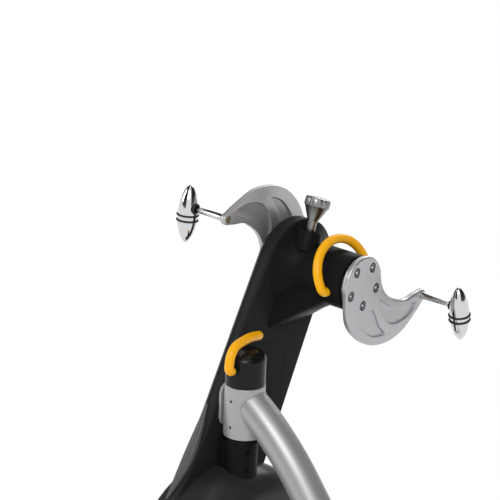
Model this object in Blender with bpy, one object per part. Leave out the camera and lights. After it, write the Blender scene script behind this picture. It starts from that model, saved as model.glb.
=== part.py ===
"""Upper body ergometer: a free-standing arm crank trainer.

A curved tube rises from a floor base to a vertical sleeve.  The drive head,
a leaning arm casing with a flywheel drum at its foot, swivels in that sleeve.
Two comma-shaped cranks turn at the head and end in bullet-shaped handles.

Frame: metres, +Z up, floor at Z = 0, swivel axis on X = 0, Y = 0.
+X points along the crank axle to the right crank, +Y to the side that the
arm leans to.
"""
import math

import bmesh
import bpy
from mathutils import Matrix, Vector

# Clearances
SEAT = 0.0003            # between pieces that touch
RUN = 0.0008             # round pieces that turn in each other
FACE_RUN = 0.0006        # flat faces that pass each other
WELD = 0.000004          # points closer than this are one after a cut
MERGE = 0.000001         # and before it
SHARP = 32.0             # degrees; edges sharper than this are shaded sharp
OVERCUT = 0.020          # how far a cutter runs past the face that it opens
THROUGH = 0.300          # half length of a cutter that goes right through
LAP = 0.001              # depth by which a joined shape enters its neighbour

# Floor base
BASE_LIFT = 0.040        # underside of the base above the floor
BEAM_WIDTH = 0.080
BEAM_HEIGHT = 0.050
FOOT_LENGTH = 0.560      # cross feet, along Y
FOOT_WIDTH = 0.060
FOOT_HEIGHT = 0.045
FRONT_FOOT_X = -0.410
REAR_FOOT_X = 0.450
FOOT_CORNER = 0.008
PAD_RADIUS = 0.022       # levelling pads
PAD_HEIGHT = 0.012
PAD_STUD = 0.005
PAD_STUD_DEPTH = 0.020
PAD_EDGE = 0.002
PAD_RIM = 0.006
PAD_INSET = 0.035        # pad centre from the end of a cross foot
WHEEL_RADIUS = 0.032
WHEEL_WIDTH = 0.022
WHEEL_PIN = 0.004
WHEEL_PLATE = 0.004
WHEEL_SPAN = 0.150       # wheel centre from the middle plane
WHEEL_REACH = 0.046      # wheel centre in front of the foot's face
WHEEL_AXLE_Z = 0.046
WHEEL_GAP = 0.004        # between the tread and the fork
FORK_FRONT = 0.012       # fork round its pin: ahead, below and above
FORK_BELOW = 0.010
FORK_ABOVE = 0.012
FORK_ROOT = 0.004        # how deep it enters the foot

# Curved tube
TUBE_RADIUS = 0.0322
TUBE_DROP = math.radians(51.0)     # steepness of the straight run
TUBE_TOP_Z = 0.8292                # where the tube's middle line meets the post's
TUBE_TOP_SLOPE = math.radians(32.65)
TUBE_ARC = 0.5643                  # bend below the sleeve
TUBE_RUN = 0.120                   # straight run
TUBE_LEAD = 0.014                  # straight start inside the sleeve
TUBE_LOW_ARC = 0.500               # bend above the flange
TUBE_SIDES = 16
FLANGE_THICK = 0.010
FLANGE_LENGTH = 0.120
FLANGE_CORNER = 0.002
FLANGE_INSET = 0.001               # the flange's edge from the beam's rounding
FLANGE_BOLT_R = 0.004
FLANGE_BOLT_HEAD = 0.0072
FLANGE_BOLT_RISE = 0.0056
FLANGE_BOLT_GRIP = 0.024           # length under the head
FLANGE_BOLT_INSET = 0.014
TUBE_ARC_PARTS = 8
TUBE_LOW_PARTS = 4

# Sleeve, post and what stands on them
POST_STEPS = 20                    # facets round the post, and round small pins
PIN_STEPS = 12
HEX_SIDES = 6
SCREW_SIDES = 8
SLEEVE_RADIUS = 0.037
SLEEVE_BORE = 0.026
SLEEVE_BOTTOM = 0.7556
SLEEVE_TOP = 0.8541
POST_RADIUS = 0.020
BUSH_LENGTH = 0.030
SLEEVE_CORNER = 0.0015
SCREW_RADIUS = 0.0026
SCREW_SIDE = math.radians(-90.0)
SCREW_HEIGHTS = (0.0219, 0.0723)   # above the sleeve's bottom
RING_HEIGHT = 0.012
RING_RADIUS = 0.031
RING_WAIST = 0.002                 # depth of the groove round it
COLLAR_RADIUS = 0.030
COLLAR_HEIGHT = 0.0755
COLLAR_SHIFT = -0.004              # the collar stands off the post's axis, to the casing
COLLAR_SCREW_RADIUS = 0.005
COLLAR_SCREW_SIDE = math.radians(-27.0)
COLLAR_SCREW_HEIGHTS = (0.0262, 0.0607)
COLLAR_SCREW_DEPTH = 0.004
COLLAR_ARM_HALF = 0.024            # arm from the collar to the casing
COLLAR_ARM_INSET = 0.004
CAP_RADIUS = 0.0367
CAP_HEIGHT = 0.0635
CAP_ROUND = 0.014
CAP_ROUND_END = math.radians(72.0)
CAP_CROWN = 0.003                  # rise of the dome above its rounding
CAP_FLAT = 0.010
CAP_PEAK = 0.0006
CAP_EDGE = 0.001
POST_IN_CAP = 0.052
LOCK_PAD_RADIUS = 0.0045
LOCK_PAD_LENGTH = 0.024
LOCK_PAD_ROOM = 0.004              # bore past the pad's end
LOCK_PAD_SIDE = math.radians(150.0)
LOCK_TRAVEL = 0.0010
PLATE_HALF = 0.022                 # wear plate beside the sleeve
PLATE_HEIGHT = 0.086
PLATE_DROP = 0.0015                # its middle below the sleeve's
BRACKET_HALF = 0.030
BRACKET_DEPTH = 0.030
BRACKET_SHIFT = 0.027
BRACKET_START = 0.006              # its foot and its crown above the cap's bottom
BRACKET_CROWN = 0.05461

# Arm casing
ARM_NEAR_X = -0.042
ARM_WIDTH = 0.046
ARM_WALL = 0.003
HEAD_Y = 0.190
HEAD_Z = 1.020
HEAD_RADIUS = 0.0905
HEAD_SHIFT_Y = -0.0055             # casing's round end from the crank axle
HEAD_SHIFT_Z = -0.002
ARM_LEAN_LEFT = math.radians(27.5)
ARM_LEAN_RIGHT = math.radians(24.9)
ARM_LEFT_SHORT = 0.243             # straight edges: the head's rise over the drum less this
ARM_RIGHT_SHORT = 0.113
ARM_FLARE = 0.100                  # reach of the curve that spreads to the drum
FLARE_END = math.radians(127.0)    # where the flare meets the drum
ARM_FAR_INSET = 0.0265             # the far edge leans in by this much
ARM_FAR_LIP = 0.003                # upright rim before the far edge leans in
ARM_FAR_ROUND = 0.002
ARM_NEAR_ROUND = 0.004
ARM_NEAR_SHARE = 0.3               # where its rounding turns
FOOT_TURN_Y = -0.080               # turn of the outline inside the drum, from its middle
FOOT_TURN_Z = 0.060
HEAD_POINTS = 17
FLARE_POINTS = 7
TRIM_WIDTH = 0.019
TRIM_EDGE = 0.004
TRIM_THICK = 0.0015
TRIM_SWELL = 0.007
STRAP_HEAD = 0.0865                # space inside the casing, round the head
STRAP_FOOT = 0.036
STRAP_LEAST = 0.010
STRAP_STEPS = 16
TRAY_START = 0.010                 # space in the far cover: places along X, insets
TRAY_DEPTH = 0.006
TRAY_DRAW = 0.0045
TRAY_RIM = 0.004
HUB_CLEAR = 0.003                  # hole round the left hub

# Drum
DRUM_Y = -0.010
DRUM_Z = 0.487
DRUM_RADIUS = 0.200
DRUM_WALL = 0.003
DRUM_FAR_X = ARM_NEAR_X - ARM_WIDTH
DRUM_SPLIT_X = -0.022
DRUM_NEAR_X = 0.050
DRUM_SHOULDER = 0.062
DRUM_FACE_DISH = 0.006
DRUM_HUB = 0.060
DRUM_CORNER = 0.016                # rounding round the far face
DRUM_STEPS = 32

# Inner drive, X places from the casing's own faces
SPINE_THICK = 0.008
SPINE_HEAD = 0.078
SPINE_FOOT = 0.032
PULLEY_WIDTH = 0.016
DRIVE_PULLEY = 0.052
PULLEY_WINDOW = 0.0085
PULLEY_WINDOW_CIRCLE = 0.0375
WHEEL_PULLEY = 0.022
BELT_THICK = 0.003
BELT_WIDTH = 0.012
FLYWHEEL_GAP = 0.040               # rim to the drum's outside
FLYWHEEL_WIDTH = 0.030
FLYWHEEL_WEB = 0.010
FLYWHEEL_RIM = 0.030
FLYWHEEL_HUB = 0.025
FLYWHEEL_X = 0.003
SHAFT_RADIUS = 0.0075
SHOE_PIVOT_ANGLE = math.radians(80.0)
SHOE_PIVOT_RISE = 0.011            # pivot above the flywheel's rim
SHOE_SPAN = math.radians(34.0)
SHOE_GAP = 0.002
SHOE_THICK = 0.018                 # back of the shoe above the rim
SHOE_HEEL = math.radians(2.6)      # shoe behind its pivot
SHOE_OPEN = math.radians(2.0)
SHOE_PIN = 0.004
SHOE_X = 0.003
SHOE_WIDTH = 0.020
BRIDGE_THICK = 0.008
BRIDGE_RADIUS = 0.0610
PILLAR_CIRCLE = 0.0583
PILLAR_RADIUS = 0.0025
CLUTCH_RADIUS = 0.023
BEARING_SEAT = 0.016
BELT_GAP = 0.0003
DRIVE_GAP = 0.002                  # pulley to the plates beside it
HALF_GAP = 0.001                   # shaft and clutch ends from the pulley's middle
BEARING_BOSS = 0.006               # wall round the flywheel bearing
HUB_GAP = 0.003                    # that boss to the flywheel's hub
SHAFT_END = 0.004
WINDOW_PLACES = (0.30, 0.55)       # spine's windows, share of the way to the drum
WINDOW_FULL = 0.70                 # their radius, in shares of the spine's head
WINDOW_TAPER = 0.45
PILLAR_TURNS = (25.0, 145.0, 265.0)
PULLEY_WINDOWS = 5
BRIDGE_STEPS = 20
PULLEY_STEPS = 24
FLYWHEEL_STEPS = 28
BELT_STEPS = (20, 17)              # points round the large and the small pulley

# Barrel and crank axle
BARREL_STEPS = 24
BOSS_STEPS = 16
AXLE_STEPS = 16
BARREL_RADIUS = 0.052
BARREL_END_X = 0.091
BARREL_ROOT = 0.086
BARREL_FLARE = 0.050
BARREL_BORE = 0.026
BARREL_CURVE = 2.2                 # how sharply the flare turns in
BARREL_PARTS = 5
BARREL_CORNER = 0.001
FAIRING_LENGTH = 0.090             # wedge below the barrel, along the barrel
FAIRING_CORE = 0.050               # where it ends inside the barrel's wall
FAIRING_BORE = 0.042
FAIRING_HOLLOW = 1.12
FAIRING_PARTS = 3
# its edge on the casing: angle round the barrel in degrees, distance from the axis
FAIRING = ((-158.0, FAIRING_CORE), (-145.0, 0.080), (-137.0, 0.108), (-130.0, 0.130),
           (-118.0, 0.122), (-104.0, 0.1113), (-90.0, 0.108), (-78.0, 0.110),
           (-71.0, 0.113), (-62.0, 0.098), (-50.0, 0.070), (-38.0, FAIRING_CORE),
           (0.0, FAIRING_CORE), (42.0, FAIRING_CORE), (84.0, FAIRING_CORE),
           (126.0, FAIRING_CORE), (166.0, FAIRING_CORE))
SPIGOT_RADIUS = 0.030
HOLD_PAD_X = 0.040
HOLD_PAD_RADIUS = 0.0075
HOLD_PAD_TOP = 0.044
HOLD_PAD_ROOM = 0.002              # bore past the pad's end
BEARING_INSET = 0.004              # outer bearing from the barrel's end
BEARING_LEDGE = 0.002
HOLD_TRAVEL = 0.003
AXLE_RADIUS = 0.010
HOLLOW_RADIUS = 0.016
HUB_RADIUS = 0.046
FLANGE_HUB = 0.0055                # thickness of the hub flanges
BEARING_WIDTH = 0.015

# Cranks
RIGHT_CRANK_X = 0.098              # inner faces, from X = 0
LEFT_CRANK_X = 0.090
CRANK_THICK = 0.012
CRANK_HUB = 0.0565
CRANK_HUB_SHIFT = -0.007
CRANK_HUB_RISE = 0.002
CRANK_HUB_ARC = (math.radians(14.0), math.radians(196.0))
CRANK_THROW = 0.185
CRANK_PIN_ANGLE = math.radians(-19.8)
CRANK_PHASE = math.radians(163.2)
CRANK_TIP = 0.011
CRANK_TIP_ARC = (math.radians(-40.0), math.radians(110.0))
CRANK_BACK = 0.125                 # radius of the bulging back
CRANK_BACK_Y = 0.062
CRANK_BACK_Z = -0.005
CRANK_BACK_ARC = (math.radians(-163.0), math.radians(-33.0))
CRANK_BACK_POINTS = 6
CRANK_HOOK = ((0.152, -0.0545), (0.128, -0.0585), (0.104, -0.053), (0.080, -0.042),
              (0.062, -0.025), (0.0525, -0.007))
CRANK_CORNER = 0.0025
POCKET_DEPTH = 0.0025
POCKETS = (((0.026, -0.052), (0.049, -0.090), (0.068, -0.111), (0.031, -0.107),
            (-0.005, -0.081), (-0.017, -0.056)),
           ((0.047, -0.038), (0.085, -0.061), (0.156, -0.071), (0.137, -0.093),
            (0.089, -0.098), (0.054, -0.070)))
BOLT_CIRCLE = 0.0375
BOLT_RADIUS = 0.0042
BOLT_HEAD = 0.0068
BOLT_COUNT = 5
BOLT_SIDES = 8
BOLT_SINK = 0.0065
BOLT_FIRST = math.radians(-19.0)
BOLT_RECESS = 0.0018               # its head below the crank's face
BOLT_BITE = 0.0033                 # its end in the hub flange
SOCKET_SHARE = 0.55                # socket in a bolt's head: width and depth
SOCKET_DEPTH = 0.5
AXLE_SHORT = 0.004

# Handles
PIN_ROOT = 0.007
PIN_END = 0.004
PIN_SHANK = 0.005
PIN_SCREW = 0.0065
PIN_SCREW_DEPTH = 0.003
PIN_SCREW_SINK = 0.0006            # its head below the crank's inner face
PIN_COLLAR = 0.006                 # straight root before the taper
PIN_THICK_END = 0.005
PIN_STEP = 0.002                   # from the taper's end to the thin end
PIN_NECK = 0.004                   # thin end before the handle
PIN_IN_HANDLE = 0.010
HANDLE_BORE = 0.012
HANDLE_POWER = 2.2                 # bullet profile
HANDLE_BLUNT = 0.65
HANDLE_OUT = 0.0855                # handle's middle from the crank's outer face
HANDLE_RADIUS = 0.0185
HANDLE_UP = 0.041                  # tip above the pin
HANDLE_DOWN = 0.067
HANDLE_TILT_RIGHT = math.radians(8.7)
HANDLE_TILT_LEFT = math.radians(-5.6)
RING_DROPS = (0.021, 0.030)
RING_WIRE = 0.0013
RING_SQUARE = 0.00182              # half diagonal of its four-sided section
GROMMET_RADIUS = 0.010
GROMMET_DEPTH = 0.005
GROMMET_RISE = 0.002
HANDLE_STEPS = 10
HANDLE_SIDES = 16

# Resistance knob
KNOB_OUT = 0.024                   # boss's mouth: from the casing's face and the crank axle
KNOB_SIDE = -0.006
KNOB_RISE = 0.074
KNOB_LEAN = math.radians(20.0)
KNOB_STEM = 0.0092
KNOB_STEM_LENGTH = 0.019
KNOB_CONE = 0.024
KNOB_HEAD = 0.0235
KNOB_HEAD_HEIGHT = 0.016
KNOB_FLUTES = 14
KNOB_FLUTE = 0.0032
KNOB_FLUTE_OUT = 0.00176           # a flute's middle outside the rim
KNOB_FLUTE_START = 0.004           # flutes begin below the rim
KNOB_EDGE = 0.001
KNOB_LIP = 0.0015
KNOB_SHOULDER = 0.004
KNOB_DRAW = 0.003
KNOB_TOP = 0.45                    # flat top, share of the head
KNOB_STEPS = 20
BOSS_RADIUS = 0.0235
BOSS_DEPTH = 0.036
BOSS_WALL = 0.003
BOSS_CUP = 0.012
KNOB_SOCKET = 0.030
KNOB_BOTTOM = 0.002                # stem's end above the socket's floor

# Levers
LEVER_WIRE = 0.0085
LEVER_PIN = 0.006
LEVER_BEND = 0.001                 # a bend's radius beyond the wire's own
LEVER_LAP = 0.003                  # how far its pin enters the wire
LEVER_SIDES = 8
PIN_ROOM = 0.0005                  # bore past a lever pin's end
BAIL_X = 0.065
BAIL_ARCH = 0.0625
BAIL_LEG = 0.014
BAIL_SIDE = math.radians(10.0)
BAIL_TILT = math.radians(-21.0)
BAIL_SINK = 0.010
CAP_LEVER_SIDE = math.radians(-80.0)
CAP_LEVER_Z = 0.0379               # pin above the cap's bottom
CAP_LEVER_OUT = 0.0205
CAP_LEVER_SINK = 0.012             # its pin in the cap's wall
CAP_LEVER_RISE = 0.0455
# its middle line: in from the outermost point, share of the rise
CAP_LEVER_PATH = ((0.004, 0.63), (0.019, 0.94), (0.04576, 1.0), (0.0715, 0.978022),
                  (0.0975, 0.87))
TIP_SHARE = 0.995                  # ball end in the last section of the wire

# Finishes: colour, roughness, metallic
SATIN_SILVER = ((0.62, 0.63, 0.65), 0.32, 0.9)
PAINT_SILVER = ((0.55, 0.56, 0.58), 0.38, 0.7)
CHROME = ((0.82, 0.83, 0.85), 0.06, 1.0)
STEEL = ((0.50, 0.50, 0.52), 0.35, 1.0)
DARK_STEEL = ((0.12, 0.12, 0.13), 0.40, 0.8)
BLACK_GLOSS = ((0.012, 0.012, 0.014), 0.22, 0.0)
BLACK_SATIN = ((0.018, 0.018, 0.020), 0.42, 0.0)
RUBBER = ((0.010, 0.010, 0.011), 0.75, 0.0)
GREY_TRIM = ((0.30, 0.31, 0.33), 0.45, 0.0)
YELLOW = ((0.95, 0.42, 0.02), 0.30, 0.0)
BRONZE = ((0.45, 0.28, 0.12), 0.40, 0.9)
IRON = ((0.20, 0.20, 0.21), 0.50, 0.9)
COPPER_PAD = ((0.35, 0.18, 0.10), 0.70, 0.2)

AXIS_X = Vector((1.0, 0.0, 0.0))
AXIS_Y = Vector((0.0, 1.0, 0.0))
AXIS_Z = Vector((0.0, 0.0, 1.0))


# Helpers

def clear_scene():
    for obj in list(bpy.data.objects):
        bpy.data.objects.remove(obj)


def make_material(name, finish):
    colour, roughness, metallic = finish
    material = bpy.data.materials.new(name)
    material.use_nodes = True
    shader = material.node_tree.nodes["Principled BSDF"]
    shader.inputs["Base Color"].default_value = (*colour, 1.0)
    shader.inputs["Roughness"].default_value = roughness
    shader.inputs["Metallic"].default_value = metallic
    material.diffuse_color = (*colour, 1.0)
    return material


def frame_of(origin, axis):
    """Matrix whose local Z is the axis and whose origin is the given point."""
    turn = Vector(axis).normalized().to_track_quat("Z", "Y").to_matrix().to_4x4()
    return Matrix.Translation(Vector(origin)) @ turn


def add_object(name, bm, finish, matrix=None, sharp=SHARP):
    """Make an object from a bmesh, its faces turned outward."""
    bmesh.ops.remove_doubles(bm, verts=bm.verts, dist=MERGE)
    bmesh.ops.recalc_face_normals(bm, faces=bm.faces)
    mesh = bpy.data.meshes.new(name)
    bm.to_mesh(mesh)
    bm.free()
    mesh.shade_smooth()
    mesh.set_sharp_from_angle(angle=math.radians(sharp))
    obj = bpy.data.objects.new(name, mesh)
    bpy.context.collection.objects.link(obj)
    if matrix is not None:
        obj.matrix_world = matrix
    if finish is not None:
        mesh.materials.append(make_material(name, finish))
    return obj


def boolean(target, tool, operation):
    """Apply an exact boolean to the target and drop the tool."""
    modifier = target.modifiers.new(operation.lower(), "BOOLEAN")
    modifier.operation = operation
    modifier.solver = "EXACT"
    modifier.object = tool
    bpy.context.view_layer.update()
    graph = bpy.context.evaluated_depsgraph_get()
    mesh = bpy.data.meshes.new_from_object(target.evaluated_get(graph), depsgraph=graph)
    target.modifiers.clear()
    bm = bmesh.new()
    bm.from_mesh(mesh)
    bmesh.ops.remove_doubles(bm, verts=bm.verts, dist=WELD)
    bmesh.ops.dissolve_degenerate(bm, edges=bm.edges, dist=WELD)
    bm.to_mesh(mesh)
    bm.free()
    target.data = mesh
    mesh.name = target.name
    mesh.set_sharp_from_angle(angle=math.radians(SHARP))
    bpy.data.objects.remove(tool)
    return target


def cut(target, tool):
    return boolean(target, tool, "DIFFERENCE")


def join(target, tool):
    return boolean(target, tool, "UNION")


def spun(profile, steps, closed=False):
    """Bmesh of a profile of (radius, height) points turned about local Z."""
    bm = bmesh.new()
    verts = [bm.verts.new((radius, 0.0, height)) for radius, height in profile]
    edges = [bm.edges.new(pair) for pair in zip(verts, verts[1:])]
    if closed:
        edges.append(bm.edges.new((verts[-1], verts[0])))
    bmesh.ops.spin(bm, geom=verts + edges, cent=(0, 0, 0), axis=(0, 0, 1),
                   angle=math.tau, steps=steps, use_duplicate=False)
    bmesh.ops.remove_doubles(bm, verts=bm.verts, dist=MERGE)
    return bm


def turned(name, profile, finish, origin, axis, steps=32):
    """Solid of revolution; the profile starts and ends on the axis."""
    return add_object(name, spun(profile, steps), finish, frame_of(origin, axis))


def ring(name, inner, outer, start, end, finish, origin, axis, steps=32, bevel=0.0):
    """Bored disc or sleeve between two heights along its axis."""
    profile = [(inner, start), (outer - bevel, start), (outer, start + bevel),
               (outer, end - bevel), (outer - bevel, end), (inner, end)]
    if bevel == 0.0:
        profile = [(inner, start), (outer, start), (outer, end), (inner, end)]
    return add_object(name, spun(profile, steps, closed=True), finish,
                      frame_of(origin, axis))


def rod(name, radius, start, end, finish, origin, axis, steps=32, bevel=0.0):
    """Solid cylinder between two heights along its axis."""
    profile = [(0.0, start), (radius - bevel, start), (radius, start + bevel),
               (radius, end - bevel), (radius - bevel, end), (0.0, end)]
    if bevel == 0.0:
        profile = [(0.0, start), (radius, start), (radius, end), (0.0, end)]
    return turned(name, profile, finish, origin, axis, steps)


def loft(name, rings, finish, matrix=None):
    """Closed solid through rings of equal point counts, capped at both ends."""
    bm = bmesh.new()
    loops = [[bm.verts.new(point) for point in points] for points in rings]
    for low, high in zip(loops, loops[1:]):
        for i in range(len(low)):
            j = (i + 1) % len(low)
            bm.faces.new((low[i], low[j], high[j], high[i]))
    bm.faces.new(loops[0][::-1])
    bm.faces.new(loops[-1])
    return add_object(name, bm, finish, matrix)


def box(name, low, high, finish, bevel=0.0, segments=2):
    """Axis-aligned block with its origin at its middle."""
    low, high = Vector(low), Vector(high)
    bm = bmesh.new()
    bmesh.ops.create_cube(bm, size=1.0)
    bmesh.ops.scale(bm, vec=high - low, verts=bm.verts)
    if bevel > 0.0:
        bmesh.ops.bevel(bm, geom=bm.edges[:], offset=bevel, segments=segments,
                        affect="EDGES", profile=0.5)
    return add_object(name, bm, finish, Matrix.Translation((low + high) / 2.0))


def swept(name, points, radius, finish, matrix=None, sides=12):
    """Round rod along a list of points, with flat capped ends."""
    curve = bpy.data.curves.new(name, "CURVE")
    curve.dimensions = "3D"
    curve.bevel_depth = radius
    curve.bevel_resolution = max(0, (sides - 4) // 2)
    curve.use_fill_caps = True
    spline = curve.splines.new("POLY")
    spline.points.add(len(points) - 1)
    for slot, point in zip(spline.points, points):
        slot.co = (*point, 1.0)
    guide = bpy.data.objects.new(name + "_path", curve)
    bpy.context.collection.objects.link(guide)
    bpy.context.view_layer.update()
    graph = bpy.context.evaluated_depsgraph_get()
    mesh = bpy.data.meshes.new_from_object(guide.evaluated_get(graph), depsgraph=graph)
    bpy.data.objects.remove(guide)
    bm = bmesh.new()
    bm.from_mesh(mesh)
    bpy.data.meshes.remove(mesh)
    return add_object(name, bm, finish, matrix, sharp=50.0)


def arc_points(centre, radius, start, end, count):
    """Points of a flat arc, both ends included."""
    steps = [start + (end - start) * i / (count - 1) for i in range(count)]
    return [(centre[0] + radius * math.cos(a), centre[1] + radius * math.sin(a))
            for a in steps]


def inset(points, distance):
    """Outline moved inward along its own normals; it runs anticlockwise."""
    result = []
    count = len(points)
    for i, point in enumerate(points):
        before = Vector(points[i - 1])
        after = Vector(points[(i + 1) % count])
        here = Vector(point)
        first = (here - before).normalized()
        second = (after - here).normalized()
        normal = Vector((-first.y - second.y, first.x + second.x)).normalized()
        spread = max(0.5, normal.dot(Vector((-first.y, first.x))))
        result.append(tuple(here + normal * distance / spread))
    return result


def bolt(matrix, radius, head_radius, head, length, sides, socket=True):
    """Bolt whose head is seated at the origin of the given frame."""
    profile = [(0.0, -length), (radius, -length), (radius, 0.0), (head_radius, 0.0),
               (head_radius, head)]
    if socket:
        socket_radius = head_radius * SOCKET_SHARE
        floor = head * (1.0 - SOCKET_DEPTH)
        profile += [(socket_radius, head), (socket_radius, floor), (0.0, floor)]
    else:
        profile.append((0.0, head))
    return add_object("bolt", spun(profile, sides), None, matrix)


# Floor base

FOOT_TOP = BASE_LIFT + FOOT_HEIGHT
BEAM_TOP = BASE_LIFT + BEAM_HEIGHT


def base_beam():
    start = FRONT_FOOT_X + FOOT_WIDTH / 2.0 + SEAT
    end = REAR_FOOT_X - FOOT_WIDTH / 2.0 - SEAT
    half = BEAM_WIDTH / 2.0
    box("base_beam", (start, -half, BASE_LIFT), (end, half, BEAM_TOP),
        PAINT_SILVER, FOOT_CORNER / 2.0)


def cross_foot(name, x):
    half = FOOT_LENGTH / 2.0
    foot = box(name, (x - FOOT_WIDTH / 2.0, -half, BASE_LIFT),
               (x + FOOT_WIDTH / 2.0, half, FOOT_TOP), PAINT_SILVER, FOOT_CORNER)
    for side in (-1.0, 1.0):
        place = (x, side * (half - PAD_INSET), BASE_LIFT)
        cut(foot, rod("bore", PAD_STUD + SEAT, -OVERCUT, PAD_STUD_DEPTH, None, place,
                      AXIS_Z, PIN_STEPS))


def levelling_pad(name, x, side):
    profile = [(0.0, 0.0), (PAD_RADIUS - PAD_EDGE, 0.0), (PAD_RADIUS, PAD_EDGE),
               (PAD_RADIUS, PAD_RIM), (PAD_STUD, PAD_HEIGHT),
               (PAD_STUD, BASE_LIFT + PAD_STUD_DEPTH - SEAT),
               (0.0, BASE_LIFT + PAD_STUD_DEPTH - SEAT)]
    place = (x, side * (FOOT_LENGTH / 2.0 - PAD_INSET), 0.0)
    turned(name, profile, RUBBER, place, AXIS_Z, PIN_STEPS)


def transport_wheels():
    """Two small wheels on the front foot; they reach the floor when it is tipped."""
    face = FRONT_FOOT_X - FOOT_WIDTH / 2.0
    foot = bpy.data.objects["front_cross_foot"]
    centre_x = face - WHEEL_REACH
    reach = WHEEL_WIDTH / 2.0 + FACE_RUN + WHEEL_PLATE
    for side, label in ((-1.0, "left"), (1.0, "right")):
        y = side * WHEEL_SPAN
        block = box("fork", (centre_x - FORK_FRONT, y - reach, WHEEL_AXLE_Z - FORK_BELOW),
                    (face + FORK_ROOT, y + reach, WHEEL_AXLE_Z + FORK_ABOVE), None)
        gap = WHEEL_WIDTH / 2.0 + FACE_RUN
        slot = WHEEL_RADIUS + WHEEL_GAP
        cut(block, box("slot", (centre_x - slot, y - gap, 0.0),
                       (centre_x + slot, y + gap, THROUGH), None))
        join(block, rod("pin", WHEEL_PIN, LAP - reach, reach - LAP, None,
                        (centre_x, y, WHEEL_AXLE_Z), AXIS_Y, PIN_STEPS))
        join(foot, block)
        ring("transport_wheel_" + label, WHEEL_PIN + RUN, WHEEL_RADIUS,
             -WHEEL_WIDTH / 2.0, WHEEL_WIDTH / 2.0, RUBBER,
             (centre_x, y, WHEEL_AXLE_Z), AXIS_Y, AXLE_STEPS)


# Curved tube and its flange

def tube_path():
    """Middle line of the tube in the X-Z plane, from the sleeve to the flange."""
    x, z = 0.0, TUBE_TOP_Z
    slope = TUBE_TOP_SLOPE
    points = [(x, z)]
    x += TUBE_LEAD * math.cos(slope)
    z -= TUBE_LEAD * math.sin(slope)
    points.append((x, z))
    for radius, final, parts in ((TUBE_ARC, TUBE_DROP, TUBE_ARC_PARTS),
                                 (None, TUBE_RUN, 1),
                                 (TUBE_LOW_ARC, math.pi / 2.0, TUBE_LOW_PARTS)):
        if radius is None:
            x += final * math.cos(slope)
            z -= final * math.sin(slope)
            points.append((x, z))
            continue
        turn = (final - slope) / parts
        for _ in range(parts):
            chord = 2.0 * radius * math.sin(turn / 2.0)
            x += chord * math.cos(slope + turn / 2.0)
            z -= chord * math.sin(slope + turn / 2.0)
            slope += turn
            points.append((x, z))
    return points


TUBE_FOOT_X = tube_path()[-1][0]
FLANGE_BOTTOM = BEAM_TOP + SEAT
FLANGE_TOP = FLANGE_BOTTOM + FLANGE_THICK


def gooseneck_tube():
    path = tube_path() + [(TUBE_FOOT_X, FLANGE_TOP + SEAT)]
    points = [(x, 0.0, z) for x, z in path]
    tube = swept("gooseneck_tube", points, TUBE_RADIUS, PAINT_SILVER, sides=TUBE_SIDES)
    cut(tube, rod("clear", SLEEVE_RADIUS + SEAT, SLEEVE_BOTTOM - OVERCUT,
                  SLEEVE_TOP + OVERCUT, None, (0, 0, 0), AXIS_Z, POST_STEPS))


def foot_flange():
    half = BEAM_WIDTH / 2.0 - FOOT_CORNER / 2.0 - FLANGE_INSET
    plate = box("foot_flange", (TUBE_FOOT_X - FLANGE_LENGTH / 2.0, -half, FLANGE_BOTTOM),
                (TUBE_FOOT_X + FLANGE_LENGTH / 2.0, half, FLANGE_TOP), PAINT_SILVER,
                FLANGE_CORNER)
    beam = bpy.data.objects["base_beam"]
    for x, y in flange_bolt_places():
        join(plate, bolt(frame_of((x, y, FLANGE_TOP), AXIS_Z), FLANGE_BOLT_R,
                         FLANGE_BOLT_HEAD, FLANGE_BOLT_RISE, FLANGE_BOLT_GRIP,
                         HEX_SIDES, socket=False))
        cut(beam, rod("bore", FLANGE_BOLT_R + SEAT, -OVERCUT, OVERCUT, None,
                      (x, y, BEAM_TOP), AXIS_Z, HEX_SIDES))


def flange_bolt_places():
    along = FLANGE_LENGTH / 2.0 - FLANGE_BOLT_INSET
    across = BEAM_WIDTH / 2.0 - FLANGE_BOLT_INSET
    return [(TUBE_FOOT_X + i * along, j * across) for i in (-1, 1) for j in (-1, 1)]


# Sleeve, post, ring, collar and cap

COLLAR_TOP = SLEEVE_BOTTOM - RING_HEIGHT - SEAT
COLLAR_BOTTOM = COLLAR_TOP - COLLAR_HEIGHT
POST_BOTTOM = DRUM_Z + DRUM_RADIUS + RUN
CAP_BOTTOM = SLEEVE_TOP + FACE_RUN
CAP_TOP = CAP_BOTTOM + CAP_HEIGHT
BUSH_BORE = POST_RADIUS + RUN
LOCK_PAD_OFFSET = (POST_RADIUS + CAP_RADIUS) / 2.0


def side_vector(angle):
    return Vector((math.cos(angle), math.sin(angle), 0.0))


def pivot_sleeve():
    sleeve = ring("pivot_sleeve", SLEEVE_BORE, SLEEVE_RADIUS, SLEEVE_BOTTOM, SLEEVE_TOP,
                  PAINT_SILVER, (0, 0, 0), AXIS_Z, POST_STEPS, SLEEVE_CORNER)
    out = side_vector(SCREW_SIDE)
    for height in SCREW_HEIGHTS:
        cut(sleeve, rod("bore", SCREW_RADIUS + SEAT, SLEEVE_BORE - OVERCUT,
                        SLEEVE_RADIUS + OVERCUT, None, (0, 0, SLEEVE_BOTTOM + height), out,
                        SCREW_SIDES))


def sleeve_bushes():
    for name, low in (("lower_bush", SLEEVE_BOTTOM),
                      ("upper_bush", SLEEVE_TOP - BUSH_LENGTH)):
        ring(name, BUSH_BORE, SLEEVE_BORE - SEAT, low, low + BUSH_LENGTH, BRONZE,
             (0, 0, 0), AXIS_Z, POST_STEPS)


def swivel_post():
    rod("swivel_post", POST_RADIUS, POST_BOTTOM, CAP_BOTTOM + POST_IN_CAP, STEEL,
        (0, 0, 0), AXIS_Z, POST_STEPS)


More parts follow.
